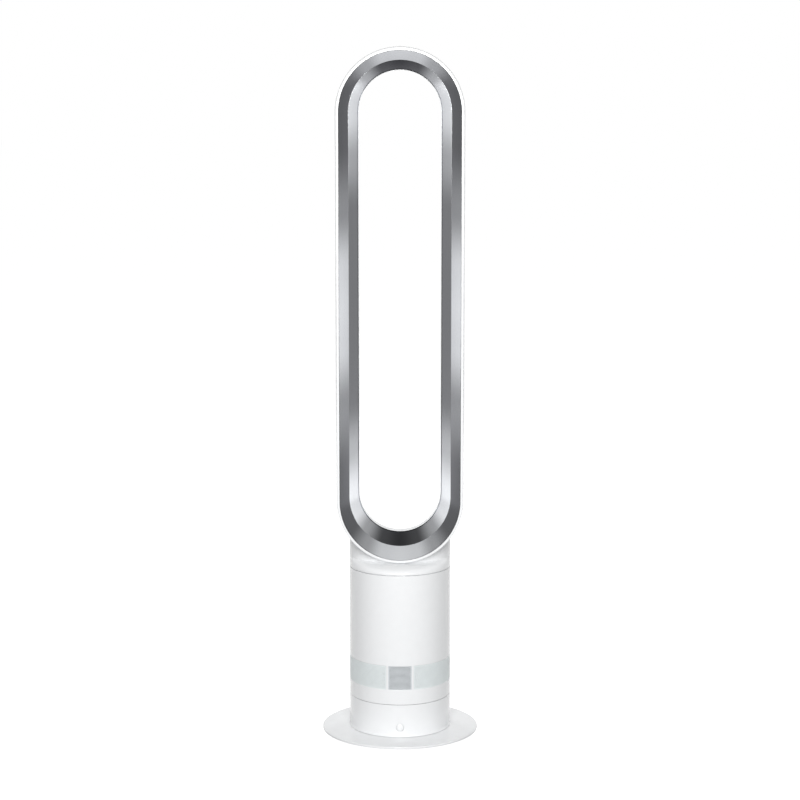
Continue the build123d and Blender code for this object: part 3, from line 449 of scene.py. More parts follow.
def board_finish(base, track=(0.02, 0.16, 0.05), tin=(0.60, 0.60, 0.58)):
    """Lacquered circuit board: copper tracks under green lacquer and tinned pads."""
    material, tree, shader, place = start_finish("circuit_board", base, roughness=0.32)
    tracks = add_node(
        tree, "TexBrick", Vector=place, Scale=160.0, Mortar_Size=0.035,
        Color1=(*base, 1.0), Color2=(*scaled(base, 1.25), 1.0), Mortar=(*track, 1.0),
    )
    pads = add_node(tree, "TexVoronoi", Vector=place, Scale=240.0, Randomness=0.35)
    pad = add_node(tree, "MapRange", Value=pads.outputs["Distance"], From_Min=0.16, From_Max=0.12).outputs["Result"]
    feed(tree, shader["Base Color"], blended(tree, pad, tracks.outputs["Color"], tin, amount=1.0))
    feed(tree, shader["Metallic"], pad)
    bumped(tree, shader, tracks.outputs["Fac"], strength=0.4, distance=0.00005)
    return material


def laminated_finish(base=(0.085, 0.065, 0.05)):
    """Varnished motor iron: stacked sheets with a warm varnish."""
    material, tree, shader, place = start_finish("laminated_iron", base, roughness=0.42, metallic=0.7)
    sheets = add_node(tree, "TexWave", {"wave_type": "BANDS", "bands_direction": "Z"}, Vector=place, Scale=420.0)
    texture = placed(tree, moulding_texture, place, Grain=900.0)
    feed(tree, shader["Base Color"], two_tones(tree, texture["Mottle"], base, dark=0.7, light=1.6))
    bumped(tree, shader, sheets.outputs["Fac"], strength=0.6, distance=0.0001)
    return material


# Painted reflection of each silver band: the level of its base colour as (share of the way from half height to the
# apex, level).
OUTER_PAINTED_REFLECTION = [(0, 0.95), (0.10, 0.88), (0.25, 0.35), (0.42, 0.13), (0.68, 0.12), (0.80, 0.35), (0.90, 0.62), (1, 0.66)]
INNER_PAINTED_REFLECTION = [(0, 0.22), (0.25, 0.23), (0.38, 0.48), (0.50, 0.92), (0.63, 0.92), (0.75, 0.37), (0.88, 0.06), (1, 0.03)]

FINISH_MAKERS = {
    "gloss_white": lambda tones: glossy_finish(tones.white),
    # both silver bands take painted reflections in their base colour
    "silver_band": lambda tones: silver_finish("outer_silver", tones.silver, OUTER_PAINTED_REFLECTION),
    "inner_silver": lambda tones: silver_finish("inner_silver", tones.silver, INNER_PAINTED_REFLECTION),
    "grille_grey": lambda tones: moulded("grille_grey", tones.grille, 0.42, (0.98, 1.01)),
    "display_grey": lambda tones: moulded("display_grey", tones.display, 0.45, (0.98, 1.01)),
    "circuit_board": lambda tones: board_finish(tones.board),
    "dark_plastic": lambda tones: moulded("dark_plastic", (0.012, 0.012, 0.013), 0.5, (0.8, 1.1), wear=0.15),
    "inner_plastic": lambda tones: moulded("inner_plastic", tones.inner_grey, 0.5, (0.88, 1.06), wear=0.15),
    "impeller_plastic": lambda tones: moulded(
        "glass_filled_plastic", (0.018, 0.018, 0.02), 0.4, (0.65, 1.175),
        grain=1200.0, relief=(0.35, 0.00005), wear=0.15,
    ),
    "motor_iron": lambda tones: laminated_finish(),
    "steel": lambda tones: steel_finish(tones.steel),
    "plate_steel": lambda tones: coated_steel_finish(),
    "black_rubber": lambda tones: rubber_finish("black_rubber", tones.rubber, 0.75),
    "pale_rubber": lambda tones: rubber_finish("pale_silicone", (0.42, 0.42, 0.40), 0.5),
    "foam": lambda tones: foam_finish(),
    "bearing_plastic": lambda tones: moulded("natural_acetal", (0.78, 0.75, 0.66), 0.38, (0.96, 1.02)),
}
finished = {}


def finish_of(slot):
    """The material of a slot of the record, made the first time it is asked for."""
    if slot not in finished:
        finished[slot] = FINISH_MAKERS[slot](bpy.context.scene.fan_finishes)
    return finished[slot]


def new_object(name, data):
    """An object in the scene's collection."""
    piece = bpy.data.objects.new(name, data)
    bpy.context.scene.collection.objects.link(piece)
    return piece


def smooth_by_angle(piece, sharp):
    """Smooth shading that keeps edges sharper than an angle."""
    piece.data.shade_smooth()
    piece.data.set_sharp_from_angle(angle=sharp)


def dress(*nodes):
    """Give carried-over nodes their finish and smooth their curved faces."""
    for node in nodes:
        piece = frame["nodes"][node]
        piece.data.materials.clear()
        piece.data.materials.append(finish_of(SLOT_OF_NODE[node]))
        weld = piece.modifiers.new("join_facets", "WELD")
        weld.merge_threshold = 0.000002
        smooth_by_angle(piece, math.radians(30))


# ---------- mesh helpers


def finished_piece(name, mesh, node, body, *, sharp=math.radians(35), finish=None):
    """Turn a mesh into a piece that rides on a body and stands for a node."""
    slot = SLOT_OF_NODE[node]
    bmesh.ops.delete(mesh, geom=[vert for vert in mesh.verts if not vert.link_faces], context="VERTS")
    bmesh.ops.recalc_face_normals(mesh, faces=mesh.faces)
    data = bpy.data.meshes.new(name)
    mesh.to_mesh(data)
    mesh.free()
    data.materials.append(finish_of(finish or slot))
    piece = new_object(name, data)
    smooth_by_angle(piece, sharp)
    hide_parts(node)
    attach(piece, body)
    return piece


def soften_edges(piece, width):
    """Round a piece's sharp edges."""
    bevel = piece.modifiers.new("soft_edges", "BEVEL")
    bevel.width = width
    bevel.segments = 3
    bevel.limit_method = "ANGLE"
    bevel.angle_limit = math.radians(50)
    bevel.harden_normals = False


def rounded_outline(corners, steps=4, most=0.45):
    """A closed outline whose corners, given as (point, radius), are rounded over no more than a share of each side."""
    outline = []
    for index, (point, radius) in enumerate(corners):
        here = Vector(point)
        before = Vector(corners[index - 1][0]) - here
        after = Vector(corners[(index + 1) % len(corners)][0]) - here
        bend = before.angle(after)
        if radius <= 0 or bend > math.radians(179):
            outline.append(here)
            continue
        reach = min(radius / math.tan(bend / 2), most * before.length, most * after.length)
        start = here + before.normalized() * reach
        end = here + after.normalized() * reach
        for step in range(steps + 1):
            share = step / steps
            outline.append(start.lerp(here, share).lerp(here.lerp(end, share), share))
    return outline


def arc(centre, radius, start, end, steps):
    """Plain corners along an arc, its angles in degrees."""
    turns = [math.radians(start + (end - start) * step / steps) for step in range(steps + 1)]
    return [((centre[0] + radius * math.cos(turn), centre[1] + radius * math.sin(turn)), 0) for turn in turns]


def bridge(mesh, ring, following):
    """Join two closed rings of points by a band of faces."""
    for index in range(len(ring)):
        after = (index + 1) % len(ring)
        mesh.faces.new((ring[index], ring[after], following[after], following[index]))


def closed_skin(mesh, rings):
    """Join closed rings of points one after another, and the last to the first."""
    for ring, following in zip(rings, rings[1:] + rings[:1]):
        bridge(mesh, ring, following)


def swept(outline, stations):
    """A mesh that carries a closed outline round stations, each a function of its two coordinates."""
    mesh = bmesh.new()
    closed_skin(mesh, [[mesh.verts.new(station(*point)) for point in outline] for station in stations])
    return mesh


def full_turn(steps):
    """Even angles once round."""
    return [math.tau * step / steps for step in range(steps)]


def facing_station(turn, centre):
    """A station at an angle round a line along Y at a height, for an outline of (radius, depth)."""
    return lambda radius, depth: (radius * math.cos(turn), depth, centre + radius * math.sin(turn))


def standing_station(turn):
    """A station at an angle round the column's axis, for an outline of (radius, height)."""
    return lambda radius, height: (radius * math.cos(turn), radius * math.sin(turn), height)


# ---------- air loop


def loop_centres():
    """Heights of the loop's two arc centres."""
    return SHELL_LOW.z + SHELL_HIGH.x, SHELL_HIGH.z - SHELL_HIGH.x


def shell_tip(loop):
    """Radius of the shell's tip, and radius and depth of the centre of its round back."""
    tip = loop.throat_radius - loop.air_slot - loop.tip_wall
    nose = (loop.radius - tip) / 2
    return tip, nose, SHELL_HIGH.y - nose


def side_radius(loop, depth):
    """Outside radius of the shell at a depth, from the lip's tangent arc to the round back."""
    bulge = SHELL_LOW.y + loop.widest_depth
    _, nose, nose_start = shell_tip(loop)
    if depth < bulge:
        run, rise = loop.widest_depth, loop.radius - loop.lip_radius
        curve = (run * run + rise * rise) / (2 * rise)
        return loop.radius - curve + math.sqrt(curve * curve - (bulge - depth) ** 2)
    if depth > nose_start:
        return loop.radius - nose + math.sqrt(max(0.0, nose * nose - (depth - nose_start) ** 2))
    return loop.radius


def shell_section(loop):
    """Closed outline of the white shell as (radius, depth)."""
    front = SHELL_LOW.y
    bulge, throat = front + loop.widest_depth, front + loop.throat_depth
    tip, nose, nose_start = shell_tip(loop)
    centre = (loop.radius + tip) / 2
    inside = loop.radius - loop.wall
    side_steps = 10
    depths = [front + loop.widest_depth * step / side_steps for step in range(1, side_steps + 1)]
    tip_round = loop.tip_wall * 0.4
    return rounded_outline([
        *(((side_radius(loop, depth), depth), 0) for depth in depths),
        *arc((centre, nose_start), nose, 0, 180, steps=28),
        ((tip, throat), tip_round),
        ((tip + loop.tip_wall, throat), tip_round),
        ((tip + loop.wall, nose_start), 0),
        *arc((centre, nose_start), nose - loop.wall, 172, 8, steps=12),
        ((inside, nose_start), 0),
        ((inside, bulge), 0),
        ((loop.lip_radius - loop.rim_width + FIT, front), loop.edge_round / 2),
        ((loop.lip_radius, front), loop.lip_round),
    ])


def front_band_line(loop):
    """Lip and crease of the outer silver band, the unit vector between them and the one that points behind it."""
    lip = Vector((loop.lip_radius - loop.rim_width, SHELL_LOW.y))
    crease = Vector((loop.crease_radius, SHELL_LOW.y + loop.crease_depth))
    along = (crease - lip).normalized()
    return lip, crease, along, Vector((along.y, -along.x))


def front_band_section(loop):
    """Closed outline of the outer silver band."""
    lip, crease, along, behind = front_band_line(loop)
    end = crease - along * loop.crease_gap
    back = lip + behind * loop.band_wall
    foot = back + along * ((back.x - lip.x) / -along.x)
    soft = loop.edge_round
    return rounded_outline([(lip, soft), (end, soft), (end + behind * loop.band_wall, soft / 2), (foot, 0)])


def inner_band_section(loop):
    """Closed outline of the inner silver band, with its hook into the duct and its hidden tongue."""
    _, crease, along, behind = front_band_line(loop)
    throat = Vector((loop.throat_radius, SHELL_LOW.y + loop.throat_depth))
    wall = loop.band_wall
    crown, hook, land, tongue_length, tongue_round, steps = 0.0005, 0.006, 0.002, 0.007, 0.0004, 12
    slope = (throat - crease).normalized()
    bulge = Vector((slope.y, -slope.x)) * -crown
    hook_centre = throat + Vector((hook, land))
    shares = [step / steps for step in range(1, steps + 1)]
    seat = crease + behind * (wall + FIT)
    tongue = seat - along * tongue_length
    return rounded_outline([
        (crease, loop.edge_round),
        *((crease.lerp(throat, share) + bulge * 4 * share * (1 - share), 0) for share in shares),
        *arc(hook_centre, hook, 180, 90, steps=8),
        *arc(hook_centre, hook - wall, 90, 180, steps=6),
        (throat + Vector((wall, 0)), 0),
        (seat + behind * wall + along * wall, 0),
        (tongue + behind * wall, tongue_round),
        (tongue, tongue_round),
        (seat + along * FIT, 0),
    ])


def loop_piece(context, name, section, node, finish=None):
    """Carry a section round the racetrack's two half turns and finish it as a piece of the air loop."""
    loop = context.scene.fan_loop
    low, high = loop_centres()
    half_turn = [math.pi * step / loop.arc_steps for step in range(loop.arc_steps + 1)]
    stations = [facing_station(turn, high) for turn in half_turn]
    stations += [facing_station(math.pi + turn, low) for turn in half_turn]
    finished_piece(name, swept(section(loop), stations), node, "column", finish=finish)


class FAN_OT_loop_shell(Operator):
    """Build the white shell of the air loop"""

    bl_idname = "fan.loop_shell"
    bl_label = "Loop shell"

    def execute(self, context):
        loop_piece(context, "loop_moulding", shell_section, "loop_shell")
        return {"FINISHED"}


class FAN_OT_silver_bands(Operator):
    """Build the two silver bands that meet at the crease"""

    bl_idname = "fan.silver_bands"
    bl_label = "Silver bands"

    def execute(self, context):
        loop_piece(context, "outer_silver_band", front_band_section, "front_bezel")
        loop_piece(context, "inner_silver_band", inner_band_section, "airflow_liner", "inner_silver")
        return {"FINISHED"}


class FAN_OT_collar(Operator):
    """Build the collar that carries the loop, rounded in at the front and the back"""

    bl_idname = "fan.collar"
    bl_label = "Collar"

    def execute(self, context):
        loop, body = context.scene.fan_loop, context.scene.fan_body
        low = COLLAR_LOW.z + body.collar_neck
        centre = loop_centres()[0]
        narrowing = body.column_radius - body.collar_half_depth
        soft = body.seam_round
        steps, rows, soft_rows, tries = 144, 24, 3, 12
        directions = [(math.cos(turn), math.sin(turn)) for turn in full_turn(steps)]
        mesh = bmesh.new()

        def lean(height):
            """How far the front and the back have rounded in at a height."""
            share = min(1.0, max(0.0, (height - low) / body.collar_lean))
            return narrowing * (1 - math.sqrt(max(0.0, 1 - share * share)))

        def top(cosine, sine, inset):
            """Height at which the collar meets the loop, found by repeated tries."""
            across = (body.column_radius - inset) * cosine
            height = low + body.collar_lean
            for _ in range(tries):
                depth = (body.column_radius - lean(height) - inset) * sine
                height = centre - math.sqrt(side_radius(loop, depth) ** 2 - across * across) - FIT
            return height

        def skin(inset, levels):
            """Rings at levels of (lift from the seam, share of the way from there to the top, pull inwards)."""
            tops = [top(cosine, sine, inset) for cosine, sine in directions]
            rings = []
            for lift, share, pull in levels:
                rings.append([])
                radius = body.column_radius - inset - pull
                for (cosine, sine), high in zip(directions, tops):
                    height = low + lift + (high - low - lift) * share
                    rings[-1].append(mesh.verts.new((radius * cosine, (radius - lean(height)) * sine, height)))
            return rings

        def round_ring(radius, height):
            return [mesh.verts.new((radius * cosine, radius * sine, height)) for cosine, sine in directions]

        turns = [math.pi / 2 * row / soft_rows for row in range(soft_rows + 1)]
        outer_levels = [(soft * (1 - math.cos(turn)), 0, soft * (1 - math.sin(turn))) for turn in turns]
        outer_levels += [(soft, row / (rows - soft_rows), 0) for row in range(1, rows - soft_rows + 1)]
        inner_levels = [(0, row / rows, 0) for row in range(rows, 1, -1)]
        neck_outer = body.column_radius - body.column_wall - FIT
        neck_inner = body.column_radius - 2 * body.column_wall
        closed_skin(mesh, [
            round_ring(neck_outer, low), *skin(0.0, outer_levels), *skin(body.column_wall + FIT, inner_levels),
            round_ring(neck_inner, low), round_ring(neck_inner, COLLAR_LOW.z), round_ring(neck_outer, COLLAR_LOW.z),
        ])
        finished_piece("collar_moulding", mesh, "loop_collar", "column", sharp=math.radians(40))
        return {"FINISHED"}


# ---------- column, inlet band and foot


def window_angles(body):
    """Angles from the front of the column at which the display and the side panels start and end."""
    display = math.asin(DISPLAY_HIGH.x / body.column_radius)
    panel_start = math.asin((DISPLAY_HIGH.x + body.strip_width) / body.column_radius)
    return display, panel_start, math.pi - body.back_post / 2


def from_front(turn):
    """How far an angle lies from the front of the column, to either side."""
    return abs((turn + math.pi) % math.tau - math.pi)


def on_column(radius, turn, height):
    """A point on the column at an angle from its front."""
    return radius * math.sin(turn), -radius * math.cos(turn), height


def divided(marks, widest):
    """Marks with as many even steps between them as keep each step below a width."""
    values = []
    for start, end in zip(marks, marks[1:]):
        steps = max(1, math.ceil((end - start) / widest))
        values += [start + (end - start) * step / steps for step in range(steps)]
    return values + [marks[-1]]


def walled_grid(turns, rows, kind_of, closed):
    """A curved wall on a grid of angles and rows of (height, outside radius, inside radius).

    kind_of(turn, height) says whether a cell is "wall", an "open" window, or a "patch" for a round hole.
    """
    mesh = bmesh.new()
    count = len(turns)
    columns = count if closed else count - 1
    skins = [
        [[mesh.verts.new(on_column(row[side], turn, row[0])) for turn in turns] for row in rows] for side in (1, 2)
    ]
    cells = {}
    for row in range(len(rows) - 1):
        for column in range(columns):
            middle = turns[column] + ((turns[(column + 1) % count] - turns[column]) % math.tau) / 2
            cells[row, column] = kind_of(middle, (rows[row][0] + rows[row + 1][0]) / 2)

    def filled(row, column):
        if closed:
            column %= columns
        return cells.get((row, column), "open") != "open"

    for (row, column), kind in cells.items():
        if kind != "wall":
            continue
        after = (column + 1) % count
        quads = [[skin[row][column], skin[row][after], skin[row + 1][after], skin[row + 1][column]] for skin in skins]
        for quad in quads:
            mesh.faces.new(quad)
        beside = ((row - 1, column), (row, column + 1), (row + 1, column), (row, column - 1))
        for first, cell in enumerate(beside):
            second = (first + 1) % 4
            if not filled(*cell):
                mesh.faces.new((quads[0][first], quads[0][second], quads[1][second], quads[1][first]))
    return mesh, skins


def round_hole(mesh, skins, turns, rows, window, centre, radius):
    """Fill a square window of a wall up to a round hole; window holds its first and last column and row."""
    left, right, low, high = window
    edge = [(low, column) for column in range(left, right)] + [(row, right) for row in range(low, high)]
    edge += [(high, column) for column in range(right, left, -1)] + [(row, left) for row in range(high, low, -1)]
    rims = []
    for side, skin in enumerate(skins):
        wall = rows[low][side + 1]
        ring = [skin[row][column] for row, column in edge]
        for share in (0.35, 0.7, 1.0):
            following = []
            for row, column in edge:
                across, up = (turns[column] - centre[0]) * wall, rows[row][0] - centre[1]
                shrink = 1 + (radius / math.hypot(across, up) - 1) * share
                place = on_column(wall, centre[0] + across * shrink / wall, centre[1] + up * shrink)
                following.append(mesh.verts.new(place))
            bridge(mesh, ring, following)
            ring = following
        rims.append(ring)
    bridge(mesh, *rims)


class FAN_OT_column_sleeve(Operator):
    """Build the white column tube with the windows of its inlet band"""

    bl_idname = "fan.column_sleeve"
    bl_label = "Column sleeve"

    def execute(self, context):
        body = context.scene.fan_body
        display, start, end = window_angles(body)
        low, high = PANEL_LOW.z - FIT, PANEL_HIGH.z + FIT

        def kind_of(turn, height):
            away = from_front(turn)
            return "open" if low < height < high and (away < display or start < away < end) else "wall"

        marks = [-math.pi, -end, -start, -display, display, start, end, math.pi]
        turns = divided(marks, widest=math.radians(2.5))[:-1]
        outer, inner = body.column_radius, body.column_radius - body.column_wall
        heights = (SLEEVE_LOW.z, low, high, SLEEVE_HIGH.z - body.seam_gap)
        mesh, _ = walled_grid(turns, [(height, outer, inner) for height in heights], kind_of, closed=True)
        soften_edges(finished_piece("column_sleeve", mesh, "body_sleeve", "column"), body.seam_round)
        return {"FINISHED"}


def perforated_panel(start, end, outer, inner, pitch, hole):
    """A curved plate with a plain margin and a field of eight-sided holes."""
    low, high = PANEL_LOW.z, PANEL_HIGH.z
    margin, step = pitch * 0.6, pitch / outer
    columns = int(((end - start) * outer - 2 * margin) / pitch)
    rows = int((high - low - 2 * margin) / pitch)
    first_turn = (start + end) / 2 - columns * step / 2
    first_height = (low + high) / 2 - rows * pitch / 2
    turns = [start, *(first_turn + column * step for column in range(columns + 1)), end]
    heights = [low, *(first_height + row * pitch for row in range(rows + 1)), high]
    octagon = [point for point, _ in arc((0, 0), hole / 2, 22.5, 337.5, steps=7)]
    mesh = bmesh.new()
    skins = []
    for radius in (outer, inner):
        grid = [[mesh.verts.new(on_column(radius, turn, height)) for turn in turns] for height in heights]
        left, right = [line[0] for line in grid], [line[-1] for line in grid]
        rings = [left[::-1] + grid[0][1:-1] + right + grid[-1][-2:0:-1]]
        for row in range(rows + 2):
            for column in range(columns + 2):
                square = [grid[row][column + 1], grid[row + 1][column + 1], grid[row + 1][column], grid[row][column]]
                if row in (0, rows + 1) or column in (0, columns + 1):
                    mesh.faces.new(square)
                    continue
                turn, height = turns[column] + step / 2, heights[row] + pitch / 2
                rim = [mesh.verts.new(on_column(radius, turn + x / outer, height + z)) for x, z in octagon]
                rings.append(rim)
                for side in range(4):
                    mesh.faces.new((square[side], rim[2 * side - 1], rim[2 * side - 2]))
                    mesh.faces.new((square[side], square[(side + 1) % 4], rim[2 * side], rim[2 * side - 1]))
        skins.append(rings)
    for outer_ring, inner_ring in zip(*skins):
        bridge(mesh, outer_ring, inner_ring)
    return mesh


class FAN_OT_inlet_panels(Operator):
    """Build the two finely perforated panels of the inlet band"""

    bl_idname = "fan.inlet_panels"
    bl_label = "Inlet panels"

    def execute(self, context):
        body = context.scene.fan_body
        _, start, end = window_angles(body)
        edge = FIT / body.column_radius
        outer = body.column_radius - PANEL_SETBACK
        for name, side in (("right", 1), ("left", -1)):
            first, last = sorted((side * (start + edge), side * (end - edge)))
            mesh = perforated_panel(first, last, outer, outer - PANEL_WALL, body.hole_pitch, body.hole_width)
            finished_piece(f"perforated_panel_{name}", mesh, f"inlet_grille_{name}", "column")
        return {"FINISHED"}


class FAN_OT_display_window(Operator):
    """Build the finely slotted square in front of the display"""

    bl_idname = "fan.display_window"
    bl_label = "Display window"

    def execute(self, context):
        body = context.scene.fan_body
        low, high = DISPLAY_LOW.z, DISPLAY_HIGH.z
        display = window_angles(body)[0]
        edge = FIT / body.column_radius
        margin = 0.0016
        slot_ends = display - margin / body.column_radius
        pitch = (high - low) / (body.slot_count + 0.5)
        middles = [(low + high) / 2 + (slot - (body.slot_count - 1) / 2) * pitch for slot in range(body.slot_count)]
        slots = [(middle - body.slot_height / 2, middle + body.slot_height / 2) for middle in middles]

        def kind_of(turn, height):
            in_slot = from_front(turn) < slot_ends and any(first < height < last for first, last in slots)
            return "open" if in_slot else "wall"

        turns = divided([-display + edge, -slot_ends, slot_ends, display - edge], widest=math.radians(2.0))
        outer = body.column_radius - PANEL_SETBACK
        heights = [low, *(mark for slot in slots for mark in slot), high]
        rows = [(height, outer, outer - PANEL_WALL) for height in heights]
        mesh, _ = walled_grid(turns, rows, kind_of, closed=False)
        finished_piece("display_window", mesh, "display_grille", "column")
        return {"FINISHED"}


class FAN_OT_base(Operator):
    """Build the base drum round its button and its cord inlet, and finish what it holds"""

    bl_idname = "fan.base"
    bl_label = "Base drum"

    def execute(self, context):
        body = context.scene.fan_body
        wall, inside = body.column_radius, body.column_radius - body.column_wall
        flare, flare_low, flare_high = wall + body.drum_shoulder, 0.0012, 0.0022
        reach, steps = 0.0095, 8  # half the side of the square patch round each hole, and its facets
        half = reach / wall
        low, high = BUTTON_HEIGHT - reach, BUTTON_HEIGHT + reach
        rows = [
            (DRUM_LOW.z + body.foot_gap, flare, inside),
            (DRUM_LOW.z + flare_low, flare, inside),
            (DRUM_LOW.z + flare_high, wall, inside),
        ]
        first_row = len(rows)
        rows += [(low + 2 * reach * step / steps, wall, inside) for step in range(steps + 1)]
        rows.append((DRUM_HIGH.z, wall, inside))
        marks = [-math.pi / 2, -half, half, math.pi - half, math.pi + half, math.pi * 3 / 2]
        slack = 0.00001  # so that rounding adds no step
        turns = divided(marks, widest=2 * half / steps + slack)[:-1]

        def kind_of(turn, height):
            at_hole = from_front(turn) < half or from_front(turn) > math.pi - half
            return "patch" if low < height < high and at_hole else "wall"

        mesh, skins = walled_grid(turns, rows, kind_of, closed=True)
        for middle, height, radius in (
            (0.0, BUTTON_HEIGHT, body.button_radius + BUTTON_GAP),
            (math.pi, GLAND_HEIGHT, body.gland_radius + FIT),
        ):
            left, right = (
                min(range(len(turns)), key=lambda column: abs(turns[column] - edge))
                for edge in (middle - half, middle + half)
            )
            window = (left, right, first_row, first_row + steps)
            round_hole(mesh, skins, turns, rows, window, (middle, height), radius)
        soften_edges(finished_piece("base_drum", mesh, "base_housing", "base"), body.seam_round)
        dress("power_button", "cord_gland", "switch_board", "base_chassis")
        return {"FINISHED"}


class FAN_OT_button_dome(Operator):
    """Build the rubber dome behind the push button"""

    bl_idname = "fan.button_dome"
    bl_label = "Button dome"

    def execute(self, context):
        body = context.scene.fan_body
        front, back, height = DOME_LOW.y + FIT / 2, DOME_HIGH.y, BUTTON_HEIGHT
        skirt, wall = DOME_HIGH.x, body.dome_wall
        corners = ((skirt - 2 * wall, front), (skirt - wall, front), (skirt, back), (skirt - wall, back))
        section = rounded_outline([(corner, wall / 4) for corner in corners], steps=3)
        stations = [facing_station(turn, height) for turn in full_turn(steps=48)]
        dome = finished_piece("rubber_dome", swept(section, stations), "button_dome", "base")
        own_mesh(dome)
        return {"FINISHED"}


class FAN_OT_foot(Operator):
    """Build the flat round foot with its soft edge, and finish what is under it"""

    bl_idname = "fan.foot"
    bl_label = "Foot"

    def execute(self, context):
        body = context.scene.fan_body
        low, high, radius = FOOT_LOW.z, FOOT_HIGH.z, FOOT_HIGH.x
        wall, hole, soft = 0.0016, 0.050, 0.0004
        edge_top = low + 0.0034
        crown, crown_round = body.column_radius + 0.0046, 0.006
        section = rounded_outline([
            ((radius, low), soft),
            ((radius, edge_top), body.foot_round),
            ((crown, high), crown_round),
            ((hole, high), soft),
            ((hole, high - wall), soft),
            ((radius - wall, edge_top - wall), soft),
            ((radius - wall, low), soft),
        ], steps=6)
        stations = [standing_station(turn) for turn in full_turn(steps=192)]
        finished_piece("foot_disc", swept(section, stations), "foot_cover", "base")
        dress("base_plate", "foot_pads", "base_screws")
        return {"FINISHED"}


WORKS = (
    "slot_spacers", "display_board", "display_holder", "impeller_housing", "impeller", "diffuser",
    "motor_bucket_lower", "motor_bucket_upper", "motor_stator", "rotor_shaft", "bearing_lower", "bearing_upper",
    "motor_bracket", "motor_board", "housing_mount_ring", "acoustic_foam", "loop_gasket", "turntable",
    "spigot_bush", "spigot_retainer", "glide_ring", "gear_sector", "drive_pinion", "drive_motor", "control_board",
)


class FAN_OT_works(Operator):
    """Finish the fan, the motor, the swivel and the boards inside"""

    bl_idname = "fan.works"
    bl_label = "Inner works"

    def execute(self, context):
        dress(*WORKS)
        return {"FINISHED"}


# ---------- stage


def bare_tree(owner):
    """The emptied node tree of a world or a material."""
    owner.use_nodes = True
    owner.node_tree.nodes.clear()
    return owner.node_tree


def camera_or_mirror(tree):
    """The kinds of rays, and a value that is 1 for those straight from the camera or from a reflection."""
    rays = add_node(tree, "LightPath").outputs
    return rays, math_of(tree, "MAXIMUM", rays["Is Camera Ray"], rays["Is Glossy Ray"])


def backdrop_world(ambient):
    """World that is white to the camera and in reflections, and an even soft light for the rest."""
    world = bpy.data.worlds.new("studio")
    tree = bare_tree(world)
    rays, seen = camera_or_mirror(tree)
    mix = add_node(tree, "MixShader", Fac=math_of(tree, "MAXIMUM", seen, rays["Is Transmission Ray"]))
    for socket, strength in zip(mix.inputs[1:], (ambient, 1.0)):
        backdrop = add_node(tree, "Background", Color=(1.0, 1.0, 1.0, 1.0), Strength=strength)
        feed(tree, socket, backdrop.outputs["Background"])
    add_node(tree, "OutputWorld", Surface=mix.outputs["Shader"])
    bpy.context.scene.world = world


def floor_finish(shade, ambient):
    """Pale floor: partly lit, so that it keeps the shadow, and partly its own tone, so that it ends in white."""
    material = bpy.data.materials.new("studio_floor")
    tree = bare_tree(material)
    lit = add_node(tree, "BsdfDiffuse", Color=(shade, shade, shade, 1.0))
    strength = math_of(tree, "MULTIPLY", camera_or_mirror(tree)[1], 1.0 - shade * ambient)
    own = add_node(tree, "Emission", Color=(1.0, 1.0, 1.0, 1.0), Strength=strength)
    both = add_node(tree, "AddShader")
    for socket, part in zip(both.inputs, (lit.outputs["BSDF"], own.outputs["Emission"])):
        feed(tree, socket, part)
    add_node(tree, "OutputMaterial", Surface=both.outputs["Shader"])
    return material


def soft_light(name, turn, height, watts, distance=2.6):
    """A rectangular soft light at an angle from the front, looking at the fan's middle."""
    lamp = bpy.data.lights.new(name, "AREA")
    lamp.shape = "RECTANGLE"
    lamp.size, lamp.size_y = 1.2, 1.6
    lamp.energy = watts
    holder = new_object(name, lamp)
    holder.location = on_column(distance, turn, height)
    aim = Vector((0, 0, (CAD_LOW.z + CAD_HIGH.z) / 2)) - holder.location
    holder.rotation_euler = aim.to_track_quat("-Z", "Y").to_euler()
    holder.visible_camera = False
    return holder


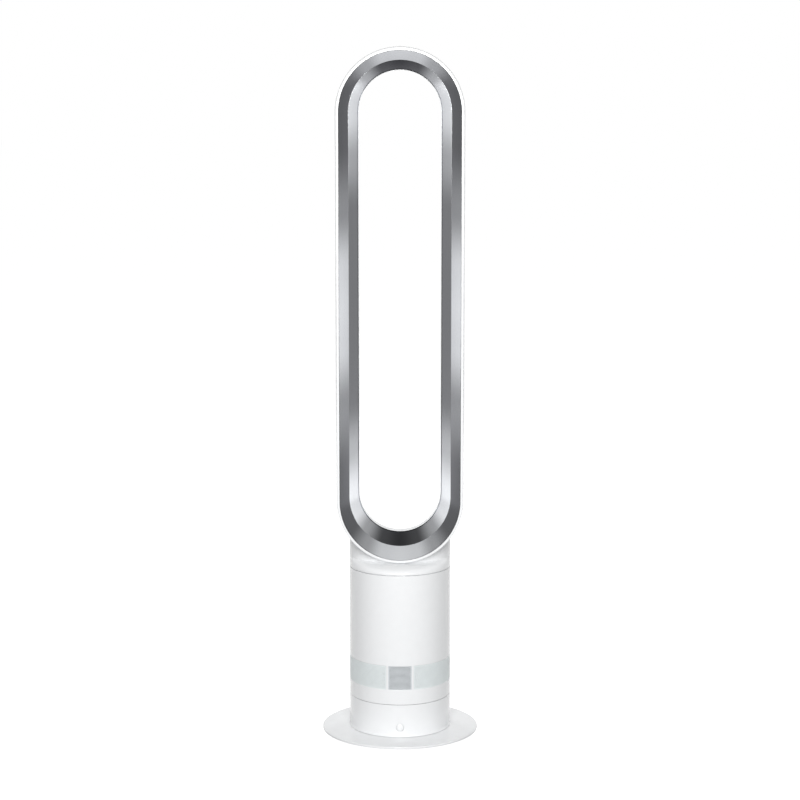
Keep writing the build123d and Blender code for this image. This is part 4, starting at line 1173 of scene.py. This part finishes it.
class FAN_OT_stage(Operator):
    """Set up the pale floor, the soft studio light and the camera"""

    bl_idname = "fan.stage"
    bl_label = "Studio"

    def execute(self, context):
        scene, studio = context.scene, context.scene.fan_studio
        scene.view_settings.view_transform = "Standard"
        backdrop_world(studio.ambient)
        mesh = bpy.data.meshes.new("floor")
        reach = 30.0
        corners = [(x * reach, y * reach, 0) for x, y in ((-1, -1), (1, -1), (1, 1), (-1, 1))]
        mesh.from_pydata(corners, [], [(0, 1, 2, 3)])
        mesh.materials.append(floor_finish(studio.floor_shade, studio.ambient))
        floor = new_object("floor", mesh)
        soft_light("front_softbox", turn=0.0, height=1.4, watts=studio.key_power)
        for name, side in (("left", -1), ("right", 1)):
            turn = side * math.radians(150)  # 30 degrees to the side of straight behind
            lamp = soft_light(f"back_softbox_{name}", turn, height=0.9, watts=studio.back_power)
            lamp.visible_glossy = False
        lens = bpy.data.cameras.new("camera")
        lens.lens = studio.lens
        lens.sensor_width = 36.0
        camera = new_object("camera", lens)
        camera.location = (0.0, -studio.camera_distance, studio.camera_height)
        camera.rotation_euler = (math.pi / 2 - studio.camera_pitch, 0.0, 0.0)
        scene.camera = camera
        return {"FINISHED"}


class FAN_PT_builder(Panel):
    """Lists the steps that build the fan"""

    bl_idname = "FAN_PT_builder"
    bl_label = "Bladeless Tower Fan"
    bl_space_type = "VIEW_3D"
    bl_region_type = "UI"
    bl_category = "Fan"

    def draw(self, context):
        for step in STEPS:
            self.layout.operator(step.bl_idname)


GROUPS = {
    "fan_loop": FanLoopSizes,
    "fan_body": FanBodySizes,
    "fan_finishes": FanFinishes,
    "fan_studio": FanStudio,
}
STEPS = (
    FAN_OT_stage,
    FAN_OT_loop_shell,
    FAN_OT_silver_bands,
    FAN_OT_collar,
    FAN_OT_column_sleeve,
    FAN_OT_inlet_panels,
    FAN_OT_display_window,
    FAN_OT_base,
    FAN_OT_button_dome,
    FAN_OT_foot,
    FAN_OT_works,
)
CLASSES = (*GROUPS.values(), *STEPS, FAN_PT_builder)


def register():
    for item in CLASSES:
        bpy.utils.register_class(item)
    for name, group in GROUPS.items():
        setattr(bpy.types.Scene, name, PointerProperty(type=group))


def unregister():
    for name in GROUPS:
        delattr(bpy.types.Scene, name)
    for item in reversed(CLASSES):
        bpy.utils.unregister_class(item)


def main():
    register()
    for step in STEPS:
        family, action = step.bl_idname.split(".")
        getattr(getattr(bpy.ops, family), action)()


if __name__ == "__main__":
    main()
